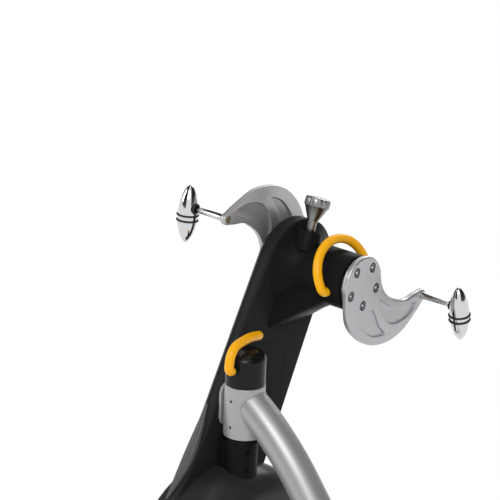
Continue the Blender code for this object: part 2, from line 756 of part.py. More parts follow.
def thrust_ring():
    low = COLLAR_TOP + SEAT
    high = SLEEVE_BOTTOM - FACE_RUN
    neck = RING_RADIUS - RING_WAIST
    middle = (low + high) / 2.0
    profile = [(POST_RADIUS + SEAT, low), (RING_RADIUS, low), (neck, middle),
               (RING_RADIUS, high), (POST_RADIUS + SEAT, high)]
    add_object("thrust_ring", spun(profile, POST_STEPS, closed=True), BLACK_SATIN,
               frame_of((0, 0, 0), AXIS_Z))


def lower_collar():
    """Collar on the post, with the arm that reaches to the casing's near face."""
    collar = rod("lower_collar", COLLAR_RADIUS, COLLAR_BOTTOM, COLLAR_TOP, BLACK_SATIN,
                 (COLLAR_SHIFT, 0, 0), AXIS_Z, POST_STEPS, SLEEVE_CORNER)
    face = ARM_NEAR_X + SEAT
    join(collar, box("bridge", (face, -COLLAR_ARM_HALF, COLLAR_BOTTOM + COLLAR_ARM_INSET),
                     (0.0, COLLAR_ARM_HALF, COLLAR_TOP - COLLAR_ARM_INSET), None))
    cut(collar, rod("bore", POST_RADIUS + SEAT, COLLAR_BOTTOM - OVERCUT,
                    COLLAR_TOP + OVERCUT, None, (0, 0, 0), AXIS_Z, POST_STEPS))
    out = side_vector(COLLAR_SCREW_SIDE)
    for height in COLLAR_SCREW_HEIGHTS:
        cut(collar, rod("bore", COLLAR_SCREW_RADIUS, COLLAR_RADIUS - COLLAR_SCREW_DEPTH,
                        COLLAR_RADIUS + OVERCUT, None,
                        (COLLAR_SHIFT, 0, COLLAR_BOTTOM + height), out, SCREW_SIDES))
    cut(collar, turned("drum_space", [(0.0, -THROUGH)] + drum_profile(SEAT, -THROUGH), None,
                       (0, DRUM_Y, DRUM_Z), AXIS_X, DRUM_STEPS))


def cap_housing():
    """Domed cap clamped on the top of the post."""
    profile = [(0.0, 0.0), (CAP_RADIUS - CAP_EDGE, 0.0), (CAP_RADIUS, CAP_EDGE)]
    profile += arc_points((CAP_RADIUS - CAP_ROUND, CAP_HEIGHT - CAP_ROUND - CAP_CROWN),
                          CAP_ROUND, 0.0, CAP_ROUND_END, 4)
    profile += [(CAP_FLAT, CAP_HEIGHT - CAP_PEAK), (0.0, CAP_HEIGHT)]
    cap = turned("cap_housing", profile, BLACK_SATIN, (0, 0, CAP_BOTTOM), AXIS_Z, POST_STEPS)
    cut(cap, rod("bore", POST_RADIUS + SEAT, -OVERCUT, POST_IN_CAP + SEAT, None,
                 (0, 0, CAP_BOTTOM), AXIS_Z, POST_STEPS))
    out = side_vector(CAP_LEVER_SIDE)
    cut(cap, rod("bore", LEVER_PIN + RUN, CAP_RADIUS - CAP_LEVER_SINK - PIN_ROOM,
                 CAP_RADIUS + OVERCUT, None, (0, 0, CAP_BOTTOM + CAP_LEVER_Z), out,
                 PIN_STEPS))
    pad = side_vector(LOCK_PAD_SIDE) * LOCK_PAD_OFFSET
    cut(cap, rod("bore", LOCK_PAD_RADIUS + RUN / 2.0, -OVERCUT,
                 LOCK_PAD_LENGTH + LOCK_PAD_ROOM, None, (pad.x, pad.y, CAP_BOTTOM), AXIS_Z,
                 PIN_STEPS))


def lock_pad():
    pad = side_vector(LOCK_PAD_SIDE) * LOCK_PAD_OFFSET
    low = LOCK_TRAVEL + SEAT
    rod("swivel_lock_pad", LOCK_PAD_RADIUS, low, low + LOCK_PAD_LENGTH, COPPER_PAD,
        (pad.x, pad.y, CAP_BOTTOM), AXIS_Z, PIN_STEPS)


def upper_bracket():
    """Arch-shaped bracket that carries the arm from the cap."""
    face = ARM_NEAR_X + SEAT
    half = BRACKET_HALF
    low = CAP_BOTTOM + BRACKET_START
    crown = CAP_BOTTOM + BRACKET_CROWN - half
    outline = [(-half, low), (half, low)] + arc_points((0.0, crown), half, 0.0, math.pi, 11)
    rings = [[(x, y + BRACKET_SHIFT, z) for y, z in outline]
             for x in (face, face + BRACKET_DEPTH)]
    bracket = loft("upper_bracket", rings, BLACK_SATIN)
    cut(bracket, rod("clear", CAP_RADIUS + SEAT, -THROUGH, THROUGH, None,
                     (0, 0, CAP_BOTTOM), AXIS_Z, POST_STEPS))


def wear_plate():
    """Upright plate on the casing where it passes the sleeve."""
    middle = (SLEEVE_BOTTOM + SLEEVE_TOP) / 2.0 - PLATE_DROP
    rise = PLATE_HEIGHT / 2.0 - PLATE_HALF
    outline = arc_points((0.0, middle + rise), PLATE_HALF, 0.0, math.pi, 9)
    outline += arc_points((0.0, middle - rise), PLATE_HALF, math.pi, math.tau, 9)
    loft("arm_wear_plate", [[(x, y, z) for y, z in outline]
                            for x in (ARM_NEAR_X + SEAT, -SLEEVE_RADIUS - FACE_RUN)],
         PAINT_SILVER)


# Arm casing

OUTLINE_Y = HEAD_Y + HEAD_SHIFT_Y
OUTLINE_Z = HEAD_Z + HEAD_SHIFT_Z
ARM_SPLIT_X = ARM_NEAR_X - ARM_WIDTH / 2.0


def bezier(start, control, end, count):
    points = []
    for i in range(1, count + 1):
        t = i / count
        points.append(tuple(start[k] * (1 - t) ** 2 + 2 * control[k] * t * (1 - t)
                            + end[k] * t * t for k in (0, 1)))
    return points


def arm_outline():
    """Casing outline in the Y-Z plane, anticlockwise, down into the drum's circle."""
    left = math.pi - ARM_LEAN_LEFT
    points = arc_points((OUTLINE_Y, OUTLINE_Z), HEAD_RADIUS, -ARM_LEAN_RIGHT, left,
                        HEAD_POINTS)
    start = points[-1]
    down = Vector((-math.sin(ARM_LEAN_LEFT), -math.cos(ARM_LEAN_LEFT)))
    knee = tuple(Vector(start) + down * (HEAD_Z - DRUM_Z - ARM_LEFT_SHORT))
    touch = (DRUM_Y + DRUM_RADIUS * math.cos(FLARE_END),
             DRUM_Z + DRUM_RADIUS * math.sin(FLARE_END))
    control = tuple(Vector(knee) + down * ARM_FLARE)
    points.append(knee)
    points += bezier(knee, control, touch, FLARE_POINTS)
    points.append((DRUM_Y + FOOT_TURN_Y, DRUM_Z + FOOT_TURN_Z))
    right = Vector((-math.sin(ARM_LEAN_RIGHT), -math.cos(ARM_LEAN_RIGHT)))
    low = Vector(points[0]) + right * (HEAD_Z - DRUM_Z - ARM_RIGHT_SHORT)
    points.append(tuple(low))
    return points


def strap(head, foot, x_places, shrink=None):
    """Tapered strap round the head and drum centres, as rings along X."""
    head_at = Vector((OUTLINE_Y, OUTLINE_Z))
    foot_at = Vector((DRUM_Y, DRUM_Z))
    shrink = shrink or [0.0] * len(x_places)
    rings = []
    for x, less in zip(x_places, shrink):
        big, small = head - less, max(STRAP_LEAST, foot - less)
        along = head_at - foot_at
        heading = math.atan2(along.y, along.x)
        swing = math.acos((big - small) / along.length)
        outline = arc_points(tuple(head_at), big, heading - swing, heading + swing,
                             STRAP_STEPS)
        outline += arc_points(tuple(foot_at), small, heading + swing,
                              heading - swing + math.tau, STRAP_STEPS // 2)
        rings.append([(x, y, z) for y, z in outline])
    return rings


def drum_cutter():
    return rod("drum_space", DRUM_RADIUS + SEAT, -THROUGH, THROUGH, None,
               (0, DRUM_Y, DRUM_Z), AXIS_X, DRUM_STEPS)


def arm_cover_right():
    """Near half of the casing: an open tray with a spigot hole at the head."""
    outline = arm_outline()
    turn = ARM_NEAR_ROUND * ARM_NEAR_SHARE
    places = ((ARM_SPLIT_X + SEAT / 2.0, 0.0), (ARM_NEAR_X - ARM_NEAR_ROUND, 0.0),
              (ARM_NEAR_X - turn, turn),
              (ARM_NEAR_X, ARM_NEAR_ROUND))
    rings = [[(x, y, z) for y, z in inset(outline, d)] for x, d in places]
    cover = loft("arm_cover_right", rings, BLACK_GLOSS)
    cut(cover, drum_cutter())
    inner = ARM_NEAR_X - ARM_WALL
    cavity = strap(STRAP_HEAD, STRAP_FOOT, (ARM_SPLIT_X - OVERCUT, inner))
    cut(cover, loft("cavity", cavity, None))
    cut(cover, rod("hole", SPIGOT_RADIUS + SEAT, -THROUGH, THROUGH, None,
                   (0, HEAD_Y, HEAD_Z), AXIS_X, BARREL_STEPS))


def arm_cover_left():
    """Far half of the casing, with its wide rounded edge."""
    outline = arm_outline()
    face = ARM_NEAR_X - ARM_WIDTH
    places = ((ARM_SPLIT_X - SEAT / 2.0, 0.0), (ARM_SPLIT_X - ARM_FAR_LIP, ARM_FAR_ROUND),
              (face + ARM_FAR_ROUND, ARM_FAR_INSET - ARM_FAR_LIP),
              (face, ARM_FAR_INSET + ARM_FAR_ROUND / 2.0))
    rings = [[(x, y, z) for y, z in inset(outline, d)] for x, d in places]
    cover = loft("arm_cover_left", rings, BLACK_GLOSS)
    cut(cover, drum_cutter())
    inner = face + ARM_WALL
    cavity = strap(STRAP_HEAD, STRAP_FOOT,
                   (ARM_SPLIT_X + TRAY_START, ARM_SPLIT_X - TRAY_DEPTH, inner),
                   (0.0, TRAY_DRAW, ARM_FAR_INSET - TRAY_RIM))
    cut(cover, loft("cavity", cavity, None))
    cut(cover, rod("hole", HUB_RADIUS + HUB_CLEAR, -THROUGH, THROUGH, None,
                   (0, HEAD_Y, HEAD_Z), AXIS_X, AXLE_STEPS))


def edge_trim():
    """Grey lens-shaped strip on the flared lower edge of the casing."""
    outline = arm_outline()
    low, high = HEAD_POINTS, HEAD_POINTS + FLARE_POINTS
    rings = []
    for i in range(low, high + 1):
        swell = math.sin(math.pi * (i - low) / (high - low))
        thick = TRIM_THICK + TRIM_SWELL * swell
        near = ARM_SPLIT_X + SEAT + TRIM_EDGE + (TRIM_WIDTH - TRIM_EDGE) * swell
        (y0, z0), (y1, z1) = (inset(outline, -SEAT - d)[i] for d in (0.0, thick))
        rings.append([(ARM_SPLIT_X + SEAT, y0, z0), (near, y0, z0),
                      (near - thick * 0.5, y1, z1), (ARM_SPLIT_X + SEAT, y1, z1)])
    cut(loft("arm_edge_trim", rings, GREY_TRIM), drum_cutter())


# Drum

DRUM_ROUND = (DRUM_RADIUS - DRUM_SHOULDER, DRUM_NEAR_X - DRUM_SHOULDER)


def drum_profile(extra, start):
    """Outside of the drum from a place along X to the middle of its near face."""
    face = DRUM_NEAR_X - DRUM_FACE_DISH + extra
    return ([(DRUM_RADIUS + extra, start)]
            + arc_points(DRUM_ROUND, DRUM_SHOULDER + extra, 0.0, math.pi / 2.0, 6)
            + [(DRUM_HUB, face), (0.0, face)])


def drum_cover_right():
    """Near half of the drum: a dome with a dished face."""
    start = DRUM_SPLIT_X + SEAT / 2.0
    outer = drum_profile(0.0, start)
    inner = [(DRUM_RADIUS - DRUM_WALL, start)]
    inner += arc_points(DRUM_ROUND, DRUM_SHOULDER - DRUM_WALL * 2.0, 0.0, math.pi / 2.0, 4)
    inner += [(0.0, DRUM_NEAR_X - DRUM_FACE_DISH - DRUM_WALL)]
    turned("drum_cover_right", inner[::-1] + outer, BLACK_GLOSS, (0, DRUM_Y, DRUM_Z),
           AXIS_X, DRUM_STEPS)


def drum_cover_left():
    """Far half of the drum: a round tray."""
    corner = DRUM_CORNER
    outer = arc_points((DRUM_RADIUS - corner, DRUM_FAR_X + corner), corner, -math.pi / 2.0,
                       0.0, 5)
    split = DRUM_SPLIT_X - SEAT / 2.0
    profile = [(0.0, DRUM_FAR_X)] + outer + [(DRUM_RADIUS, split),
                                             (DRUM_RADIUS - DRUM_WALL, split),
                                             (DRUM_RADIUS - DRUM_WALL, DRUM_FAR_X + corner),
                                             (DRUM_RADIUS - corner, DRUM_FAR_X + DRUM_WALL),
                                             (0.0, DRUM_FAR_X + DRUM_WALL)]
    cover = turned("drum_cover_left", profile, BLACK_GLOSS, (0, DRUM_Y, DRUM_Z), AXIS_X,
                   DRUM_STEPS)
    inside = (ARM_NEAR_X - ARM_WIDTH + ARM_WALL, ARM_NEAR_X - ARM_WALL)
    cut(cover, loft("pass", strap(STRAP_HEAD - ARM_FAR_INSET / 2.0, STRAP_FOOT, inside), None))


# Spine and inner drive

FLYWHEEL_RADIUS = DRUM_RADIUS - FLYWHEEL_GAP
SHOE_PIVOT_R = FLYWHEEL_RADIUS + SHOE_PIVOT_RISE
SHOE_OUTER = FLYWHEEL_RADIUS + SHOE_THICK
SPINE_NEAR = ARM_NEAR_X - ARM_WALL - SEAT
SPINE_FAR = SPINE_NEAR - SPINE_THICK
PULLEY_NEAR = SPINE_FAR - DRIVE_GAP
PULLEY_FAR = PULLEY_NEAR - PULLEY_WIDTH
BRIDGE_NEAR = PULLEY_FAR - DRIVE_GAP
BRIDGE_FAR = BRIDGE_NEAR - BRIDGE_THICK
FLYWHEEL_FAR = FLYWHEEL_X - FLYWHEEL_WIDTH / 2.0
FLYWHEEL_NEAR = FLYWHEEL_X + FLYWHEEL_WIDTH / 2.0


def arm_spine():
    """Load-carrying plate behind the near cover, with the flywheel's bearing boss."""
    spine = loft("arm_spine", strap(SPINE_HEAD, SPINE_FOOT, (SPINE_FAR, SPINE_NEAR)),
                 DARK_STEEL)
    join(spine, rod("boss", BEARING_SEAT + BEARING_BOSS, SPINE_FAR + LAP,
                    FLYWHEEL_FAR - HUB_GAP, None, (0, DRUM_Y, DRUM_Z), AXIS_X, AXLE_STEPS))
    cut(spine, rod("bore", BEARING_SEAT, -THROUGH, THROUGH, None, (0, DRUM_Y, DRUM_Z),
                   AXIS_X, AXLE_STEPS))
    join(spine, rod("brake_pin", SHOE_PIN, SPINE_FAR + LAP, SHOE_X + SHOE_WIDTH / 2.0, None,
                    shoe_pivot(), AXIS_X, PIN_STEPS))
    cut(spine, rod("bore", SPIGOT_RADIUS + SEAT, -THROUGH, THROUGH, None,
                   (0, HEAD_Y, HEAD_Z), AXIS_X, BARREL_STEPS))
    for share in WINDOW_PLACES:
        place = (0, OUTLINE_Y + (DRUM_Y - OUTLINE_Y) * share,
                 OUTLINE_Z + (DRUM_Z - OUTLINE_Z) * share)
        window = SPINE_HEAD * (WINDOW_FULL - share * WINDOW_TAPER)
        cut(spine, rod("window", window, -THROUGH, THROUGH, None, place, AXIS_X, AXLE_STEPS))


def shoe_pivot():
    return Vector((0.0, DRUM_Y + SHOE_PIVOT_R * math.cos(SHOE_PIVOT_ANGLE),
                   DRUM_Z + SHOE_PIVOT_R * math.sin(SHOE_PIVOT_ANGLE)))


def brake_shoe():
    """Curved shoe on a pin, standing off the flywheel's rim."""
    pivot = shoe_pivot()
    start = SHOE_PIVOT_ANGLE + SHOE_HEEL
    end = start - SHOE_SPAN
    inner = arc_points((DRUM_Y, DRUM_Z), FLYWHEEL_RADIUS + SHOE_GAP, start, end, 7)
    outer = arc_points((DRUM_Y, DRUM_Z), SHOE_OUTER, end, start, 5)
    lift = Matrix.Rotation(SHOE_OPEN, 2)
    middle = Vector((pivot.y, pivot.z))
    outline = [tuple(lift @ (Vector(p) - middle)) for p in inner + outer]
    near = SHOE_X + SHOE_WIDTH / 2.0
    far = SHOE_X - SHOE_WIDTH / 2.0
    shoe = loft("brake_shoe", [[(x, y, z) for y, z in outline] for x in (far, near)],
                COPPER_PAD, Matrix.Translation(pivot))
    cut(shoe, rod("bore", SHOE_PIN + RUN, far - OVERCUT, near + OVERCUT, None, pivot,
                  AXIS_X, PIN_STEPS))


def head_bridge():
    """Plate on three pillars that carries the left bearing past the pulley."""
    bridge = rod("head_bridge", BRIDGE_RADIUS, BRIDGE_FAR, BRIDGE_NEAR, DARK_STEEL,
                 (0, HEAD_Y, HEAD_Z), AXIS_X, BRIDGE_STEPS)
    cut(bridge, rod("bore", BARREL_BORE + SEAT, -THROUGH, THROUGH, None,
                    (0, HEAD_Y, HEAD_Z), AXIS_X, BARREL_STEPS))
    for turn in PILLAR_TURNS:
        angle = math.radians(turn)
        place = (0, HEAD_Y + PILLAR_CIRCLE * math.cos(angle),
                 HEAD_Z + PILLAR_CIRCLE * math.sin(angle))
        join(bridge, rod("pillar", PILLAR_RADIUS, BRIDGE_FAR + LAP, SPINE_FAR - SEAT, None,
                         place, AXIS_X, HEX_SIDES))


def drive_pulley():
    pulley = ring("drive_pulley", CLUTCH_RADIUS, DRIVE_PULLEY, PULLEY_FAR, PULLEY_NEAR,
                  DARK_STEEL, (0, HEAD_Y, HEAD_Z), AXIS_X, PULLEY_STEPS)
    for i in range(PULLEY_WINDOWS):
        angle = math.tau * i / PULLEY_WINDOWS
        place = (0, HEAD_Y + PULLEY_WINDOW_CIRCLE * math.cos(angle),
                 HEAD_Z + PULLEY_WINDOW_CIRCLE * math.sin(angle))
        cut(pulley, rod("window", PULLEY_WINDOW, -THROUGH, THROUGH, None, place, AXIS_X,
                        SCREW_SIDES))
    middle = (PULLEY_NEAR + PULLEY_FAR) / 2.0
    for name, low, high in (("right_clutch", middle + HALF_GAP, PULLEY_NEAR),
                            ("left_clutch", PULLEY_FAR, middle - HALF_GAP)):
        ring(name, HOLLOW_RADIUS + RUN, CLUTCH_RADIUS - SEAT, low, high, STEEL,
             (0, HEAD_Y, HEAD_Z), AXIS_X, AXLE_STEPS)


def flywheel():
    web = FLYWHEEL_WEB / 2.0
    rim = FLYWHEEL_RADIUS - FLYWHEEL_RIM
    half = FLYWHEEL_WIDTH / 2.0
    profile = [(SHAFT_RADIUS + SEAT, -half), (FLYWHEEL_HUB, -half), (FLYWHEEL_HUB, -web),
               (rim, -web), (rim, -half), (FLYWHEEL_RADIUS, -half), (FLYWHEEL_RADIUS, half),
               (rim, half), (rim, web), (FLYWHEEL_HUB, web), (FLYWHEEL_HUB, half),
               (SHAFT_RADIUS + SEAT, half)]
    add_object("flywheel", spun(profile, FLYWHEEL_STEPS, closed=True), IRON,
               frame_of((FLYWHEEL_X, DRUM_Y, DRUM_Z), AXIS_X))
    rod("flywheel_shaft", SHAFT_RADIUS, PULLEY_FAR, FLYWHEEL_NEAR + SHAFT_END, STEEL,
        (0, DRUM_Y, DRUM_Z), AXIS_X, AXLE_STEPS)
    ring("flywheel_pulley", SHAFT_RADIUS + SEAT, WHEEL_PULLEY, PULLEY_FAR, PULLEY_NEAR, STEEL,
         (0, DRUM_Y, DRUM_Z), AXIS_X, AXLE_STEPS)
    ring("flywheel_bearing", SHAFT_RADIUS + RUN, BEARING_SEAT - SEAT, SPINE_FAR + LAP,
         FLYWHEEL_FAR - HUB_GAP - LAP, STEEL, (0, DRUM_Y, DRUM_Z), AXIS_X, AXLE_STEPS)


def drive_belt():
    """Flat belt loop round both pulleys."""
    head_at = Vector((HEAD_Y, HEAD_Z))
    foot_at = Vector((DRUM_Y, DRUM_Z))
    along = head_at - foot_at
    heading = math.atan2(along.y, along.x)
    middle = (PULLEY_NEAR + PULLEY_FAR) / 2.0
    swing = math.acos((DRIVE_PULLEY - WHEEL_PULLEY) / along.length)
    loops = []
    for out in (BELT_GAP, BELT_GAP + BELT_THICK):
        loop = arc_points(tuple(head_at), DRIVE_PULLEY + out, heading - swing,
                          heading + swing, BELT_STEPS[0])
        loop += arc_points(tuple(foot_at), WHEEL_PULLEY + out, heading + swing,
                           heading - swing + math.tau, BELT_STEPS[1])
        loops.append(loop)
    bm = bmesh.new()
    half = BELT_WIDTH / 2.0
    corners = ((0, -half), (1, -half), (1, half), (0, half))
    columns = [[bm.verts.new((middle + x, *loops[side][i])) for side, x in corners]
               for i in range(len(loops[0]))]
    for i, column in enumerate(columns):
        after = columns[(i + 1) % len(columns)]
        for k in range(4):
            bm.faces.new((column[k], column[(k + 1) % 4], after[(k + 1) % 4], after[k]))
    add_object("drive_belt", bm, RUBBER)


# Barrel and axle

def barrel_fairing(root):
    """Wedge under the barrel that runs out on the casing's face."""
    rings = []
    for k in range(FAIRING_PARTS + 1):
        left = 1.0 - k / FAIRING_PARTS
        ring_points = []
        for turn, reach in FAIRING:
            radius = FAIRING_CORE + (reach - FAIRING_CORE) * left ** FAIRING_HOLLOW
            angle = math.radians(turn)
            ring_points.append((root + FAIRING_LENGTH * (1.0 - left),
                                HEAD_Y + radius * math.cos(angle),
                                HEAD_Z + radius * math.sin(angle)))
        rings.append(ring_points)
    wedge = loft("fairing", rings, None)
    cut(wedge, rod("clear", FAIRING_BORE, -THROUGH, THROUGH, None, (0, HEAD_Y, HEAD_Z),
                   AXIS_X, BARREL_STEPS))
    return wedge


def barrel_housing():
    """Flared barrel with the knob's boss and a wedge below, one casting."""
    root = ARM_NEAR_X + SEAT
    profile = [(BARREL_BORE + SEAT, SPINE_FAR + SEAT), (SPIGOT_RADIUS, SPINE_FAR + SEAT),
               (SPIGOT_RADIUS, root)]
    for i in range(BARREL_PARTS + 1):
        t = i / BARREL_PARTS
        radius = BARREL_RADIUS + (BARREL_ROOT - BARREL_RADIUS) * (1.0 - t) ** BARREL_CURVE
        profile.append((radius, root + BARREL_FLARE * t))
    profile += [(BARREL_RADIUS, BARREL_END_X - BARREL_CORNER),
                (BARREL_RADIUS - BARREL_CORNER, BARREL_END_X),
                (BARREL_BORE + SEAT, BARREL_END_X)]
    barrel = add_object("barrel_housing", spun(profile, BARREL_STEPS, closed=True), BLACK_SATIN,
                        frame_of((0, HEAD_Y, HEAD_Z), AXIS_X))
    join(barrel, barrel_fairing(root))
    frame = knob_frame()
    boss = turned("boss", [(0.0, -BOSS_DEPTH), (BOSS_RADIUS, -BOSS_DEPTH), (BOSS_RADIUS, 0.0),
                           (BOSS_RADIUS - BOSS_WALL, 0.0),
                           (BOSS_RADIUS - BOSS_WALL, -BOSS_CUP), (0.0, -BOSS_CUP)],
                  None, (0, 0, 0), AXIS_Z, BOSS_STEPS)
    boss.matrix_world = frame
    join(barrel, boss)
    stem = rod("bore", KNOB_STEM + RUN, -KNOB_SOCKET, OVERCUT, None, (0, 0, 0), AXIS_Z,
               BOSS_STEPS)
    stem.matrix_world = frame
    cut(barrel, stem)
    cup = rod("cup", BOSS_RADIUS - BOSS_WALL, -BOSS_CUP, OVERCUT, None, (0, 0, 0), AXIS_Z,
              BOSS_STEPS)
    cup.matrix_world = frame
    cut(barrel, cup)
    pivot = bail_axis()
    for side in (-1.0, 1.0):
        cut(barrel, rod("bore", LEVER_PIN + RUN, BARREL_RADIUS - BAIL_SINK - PIN_ROOM * 2.0,
                        BARREL_RADIUS + OVERCUT, None, bail_centre(), pivot * side,
                        PIN_STEPS))
    cut(barrel, rod("bore", HOLD_PAD_RADIUS + RUN / 2.0, 0.0, HOLD_PAD_TOP + HOLD_PAD_ROOM,
                    None, (HOLD_PAD_X, HEAD_Y, HEAD_Z), -AXIS_Z, PIN_STEPS))


def head_bearings():
    """Two bearings in the barrel and one in the bridge on the far side."""
    outer = BARREL_END_X - BEARING_INSET
    inner = SPINE_FAR + BEARING_LEDGE
    for name, low, high in (("barrel_outer_bearing", outer - BEARING_WIDTH, outer),
                            ("barrel_inner_bearing", inner, inner + BEARING_WIDTH),
                            ("bridge_bearing", BRIDGE_FAR, BRIDGE_NEAR)):
        ring(name, HOLLOW_RADIUS + RUN, BARREL_BORE, low, high, STEEL,
             (0, HEAD_Y, HEAD_Z), AXIS_X, BARREL_STEPS)


def hold_pad():
    """Pad that grips the right shaft when the bail is pulled."""
    low = HOLLOW_RADIUS + RUN + HOLD_TRAVEL
    rod("hold_brake_pad", HOLD_PAD_RADIUS, low, HOLD_PAD_TOP, COPPER_PAD,
        (HOLD_PAD_X, HEAD_Y, HEAD_Z), -AXIS_Z, PIN_STEPS)


def crank_inner(side):
    return RIGHT_CRANK_X if side > 0.0 else LEFT_CRANK_X


def bolt_angles():
    return [BOLT_FIRST + math.tau * i / BOLT_COUNT for i in range(BOLT_COUNT)]


def hub_shaft(name, side, end, bore, turn):
    """Hollow shaft with the flange and the five bolts that hold a crank."""
    inner = crank_inner(side)
    flange_far = inner - SEAT
    flange_near = inner - FLANGE_HUB
    profile = [(bore, end), (HOLLOW_RADIUS, end), (HOLLOW_RADIUS, flange_near),
               (HUB_RADIUS, flange_near), (HUB_RADIUS, flange_far), (bore, flange_far)]
    shaft = add_object(name, spun(profile, AXLE_STEPS, closed=True), STEEL,
                       frame_of((0, HEAD_Y, HEAD_Z), AXIS_X * side))
    top = inner + CRANK_THICK - BOLT_SINK + SEAT
    for angle in bolt_angles():
        place = (side * top, HEAD_Y + BOLT_CIRCLE * math.cos(angle + turn),
                 HEAD_Z + BOLT_CIRCLE * math.sin(angle + turn))
        join(shaft, bolt(frame_of(place, AXIS_X * side), BOLT_RADIUS, BOLT_HEAD,
                         BOLT_SINK - BOLT_RECESS, top - flange_far + BOLT_BITE,
                         BOLT_SIDES))


def crank_shafts():
    middle = (PULLEY_NEAR + PULLEY_FAR) / 2.0
    hub_shaft("right_shaft", 1.0, middle + HALF_GAP, AXLE_RADIUS + RUN, 0.0)
    hub_shaft("left_shaft", -1.0, HALF_GAP - middle, AXLE_RADIUS + SEAT, CRANK_PHASE)
    rod("centre_axle", AXLE_RADIUS, SEAT - LEFT_CRANK_X, RIGHT_CRANK_X - AXLE_SHORT, STEEL,
        (0, HEAD_Y, HEAD_Z), AXIS_X, AXLE_STEPS)


# Cranks

def spline(points, per_leg, closed=False):
    """Smooth curve through the points, with a fixed number of steps per leg."""
    count = len(points)
    legs = count if closed else count - 1
    result = []
    for leg in range(legs):
        b, c = Vector(points[leg]), Vector(points[(leg + 1) % count])
        a = Vector(points[leg - 1]) if closed or leg > 0 else b - (c - b)
        last = (leg + 2) % count if closed else leg + 2
        d = Vector(points[last]) if last < count else c + (c - b)
        for i in range(per_leg):
            t = i / per_leg
            result.append(tuple(0.5 * (2.0 * b + (c - a) * t
                                       + (2.0 * a - 5.0 * b + 4.0 * c - d) * t * t
                                       + (3.0 * b - a - 3.0 * c + d) * t ** 3)))
    if not closed:
        result.append(tuple(points[-1]))
    return result


def pin_place(turn):
    angle = CRANK_PIN_ANGLE + turn
    return Vector((CRANK_THROW * math.cos(angle), CRANK_THROW * math.sin(angle)))


def crank_outline():
    """Comma outline about the axle: round hub, bulging back, hooked tip."""
    hub = arc_points((CRANK_HUB_SHIFT, CRANK_HUB_RISE), CRANK_HUB, *CRANK_HUB_ARC, 11)
    back = []
    first, last = CRANK_BACK_ARC
    for i in range(CRANK_BACK_POINTS):
        angle = first + (last - first) * (i + 0.5) / CRANK_BACK_POINTS
        back.append((CRANK_BACK_Y + CRANK_BACK * math.cos(angle),
                     CRANK_BACK_Z + CRANK_BACK * math.sin(angle)))
    centre = pin_place(0.0)
    tip = arc_points(tuple(centre), CRANK_TIP, *CRANK_TIP_ARC, 5)
    joints = [hub[-1]] + back + [tip[0]]
    front = [tip[-1]] + list(CRANK_HOOK) + [hub[0]]
    return hub[:-1] + spline(joints, 2)[:-1] + tip[:-1] + spline(front, 2)[:-1]


def turned_flat(points, turn):
    spin = Matrix.Rotation(turn, 2)
    return [tuple(spin @ Vector(p)) for p in points]


def crank(name, side, turn):
    """Crank plate; side is +1 for the right crank and -1 for the left one."""
    near = crank_inner(side)
    far = near + CRANK_THICK
    edge = CRANK_CORNER
    outline = turned_flat(crank_outline(), turn)
    places = ((near, edge), (near + edge, 0.0), (far - edge, 0.0), (far, edge))
    rings = [[(side * x, y, z) for y, z in inset(outline, d)] for x, d in places]
    plate = loft(name, rings, SATIN_SILVER, Matrix.Translation((0, HEAD_Y, HEAD_Z)))
    for points in POCKETS:
        shape = turned_flat(spline(points, 2, closed=True), turn)
        for low, high in ((far - POCKET_DEPTH, far + OVERCUT),
                          (near - OVERCUT, near + POCKET_DEPTH)):
            cut(plate, loft("pocket", [[(side * x, y, z) for y, z in shape]
                                       for x in (low, high)], None,
                            Matrix.Translation((0, HEAD_Y, HEAD_Z))))
    for angle in bolt_angles():
        place = (0, HEAD_Y + BOLT_CIRCLE * math.cos(angle + turn),
                 HEAD_Z + BOLT_CIRCLE * math.sin(angle + turn))
        cut(plate, rod("bore", BOLT_HEAD + SEAT, far - BOLT_SINK, far + OVERCUT, None, place,
                       AXIS_X * side, BOLT_SIDES))
        cut(plate, rod("bore", BOLT_RADIUS + SEAT, near - OVERCUT, far, None, place,
                       AXIS_X * side, BOLT_SIDES))
    pin = pin_place(turn)
    place = (0, HEAD_Y + pin.x, HEAD_Z + pin.y)
    cut(plate, rod("bore", PIN_SHANK + SEAT, near - OVERCUT, far + OVERCUT, None, place,
                   AXIS_X * side, PIN_STEPS))
    cut(plate, rod("bore", PIN_SCREW + SEAT, near - OVERCUT, near + PIN_SCREW_DEPTH, None,
                   place, AXIS_X * side, PIN_STEPS))


# Handles

def crank_pin(label, side, turn):
    """Taper pin that carries a handle, with its screw head on the crank's inner face."""
    pin = pin_place(turn)
    place = (0, HEAD_Y + pin.x, HEAD_Z + pin.y)
    inner = crank_inner(side)
    outer = inner + CRANK_THICK
    handle_x = outer + HANDLE_OUT
    neck = handle_x - HANDLE_RADIUS - PIN_NECK
    head = inner + PIN_SCREW_SINK
    end = handle_x + PIN_IN_HANDLE
    profile = [(0.0, head), (PIN_SCREW, head),
               (PIN_SCREW, inner + PIN_SCREW_DEPTH - SEAT),
               (PIN_SHANK, inner + PIN_SCREW_DEPTH - SEAT), (PIN_SHANK, outer + SEAT),
               (PIN_ROOT, outer + SEAT), (PIN_ROOT, outer + PIN_COLLAR),
               (PIN_THICK_END, neck - PIN_STEP), (PIN_END, neck), (PIN_END, end), (0.0, end)]
    turned(label + "_handle_pin", profile, CHROME, place, AXIS_X * side, PIN_STEPS)


def handle_radius(height):
    """Bullet profile: height is measured from the pin, up along the handle."""
    middle = (HANDLE_UP - HANDLE_DOWN) / 2.0
    half = (HANDLE_UP + HANDLE_DOWN) / 2.0
    share = min(1.0, abs(height - middle) / half)
    return HANDLE_RADIUS * (1.0 - share ** HANDLE_POWER) ** HANDLE_BLUNT


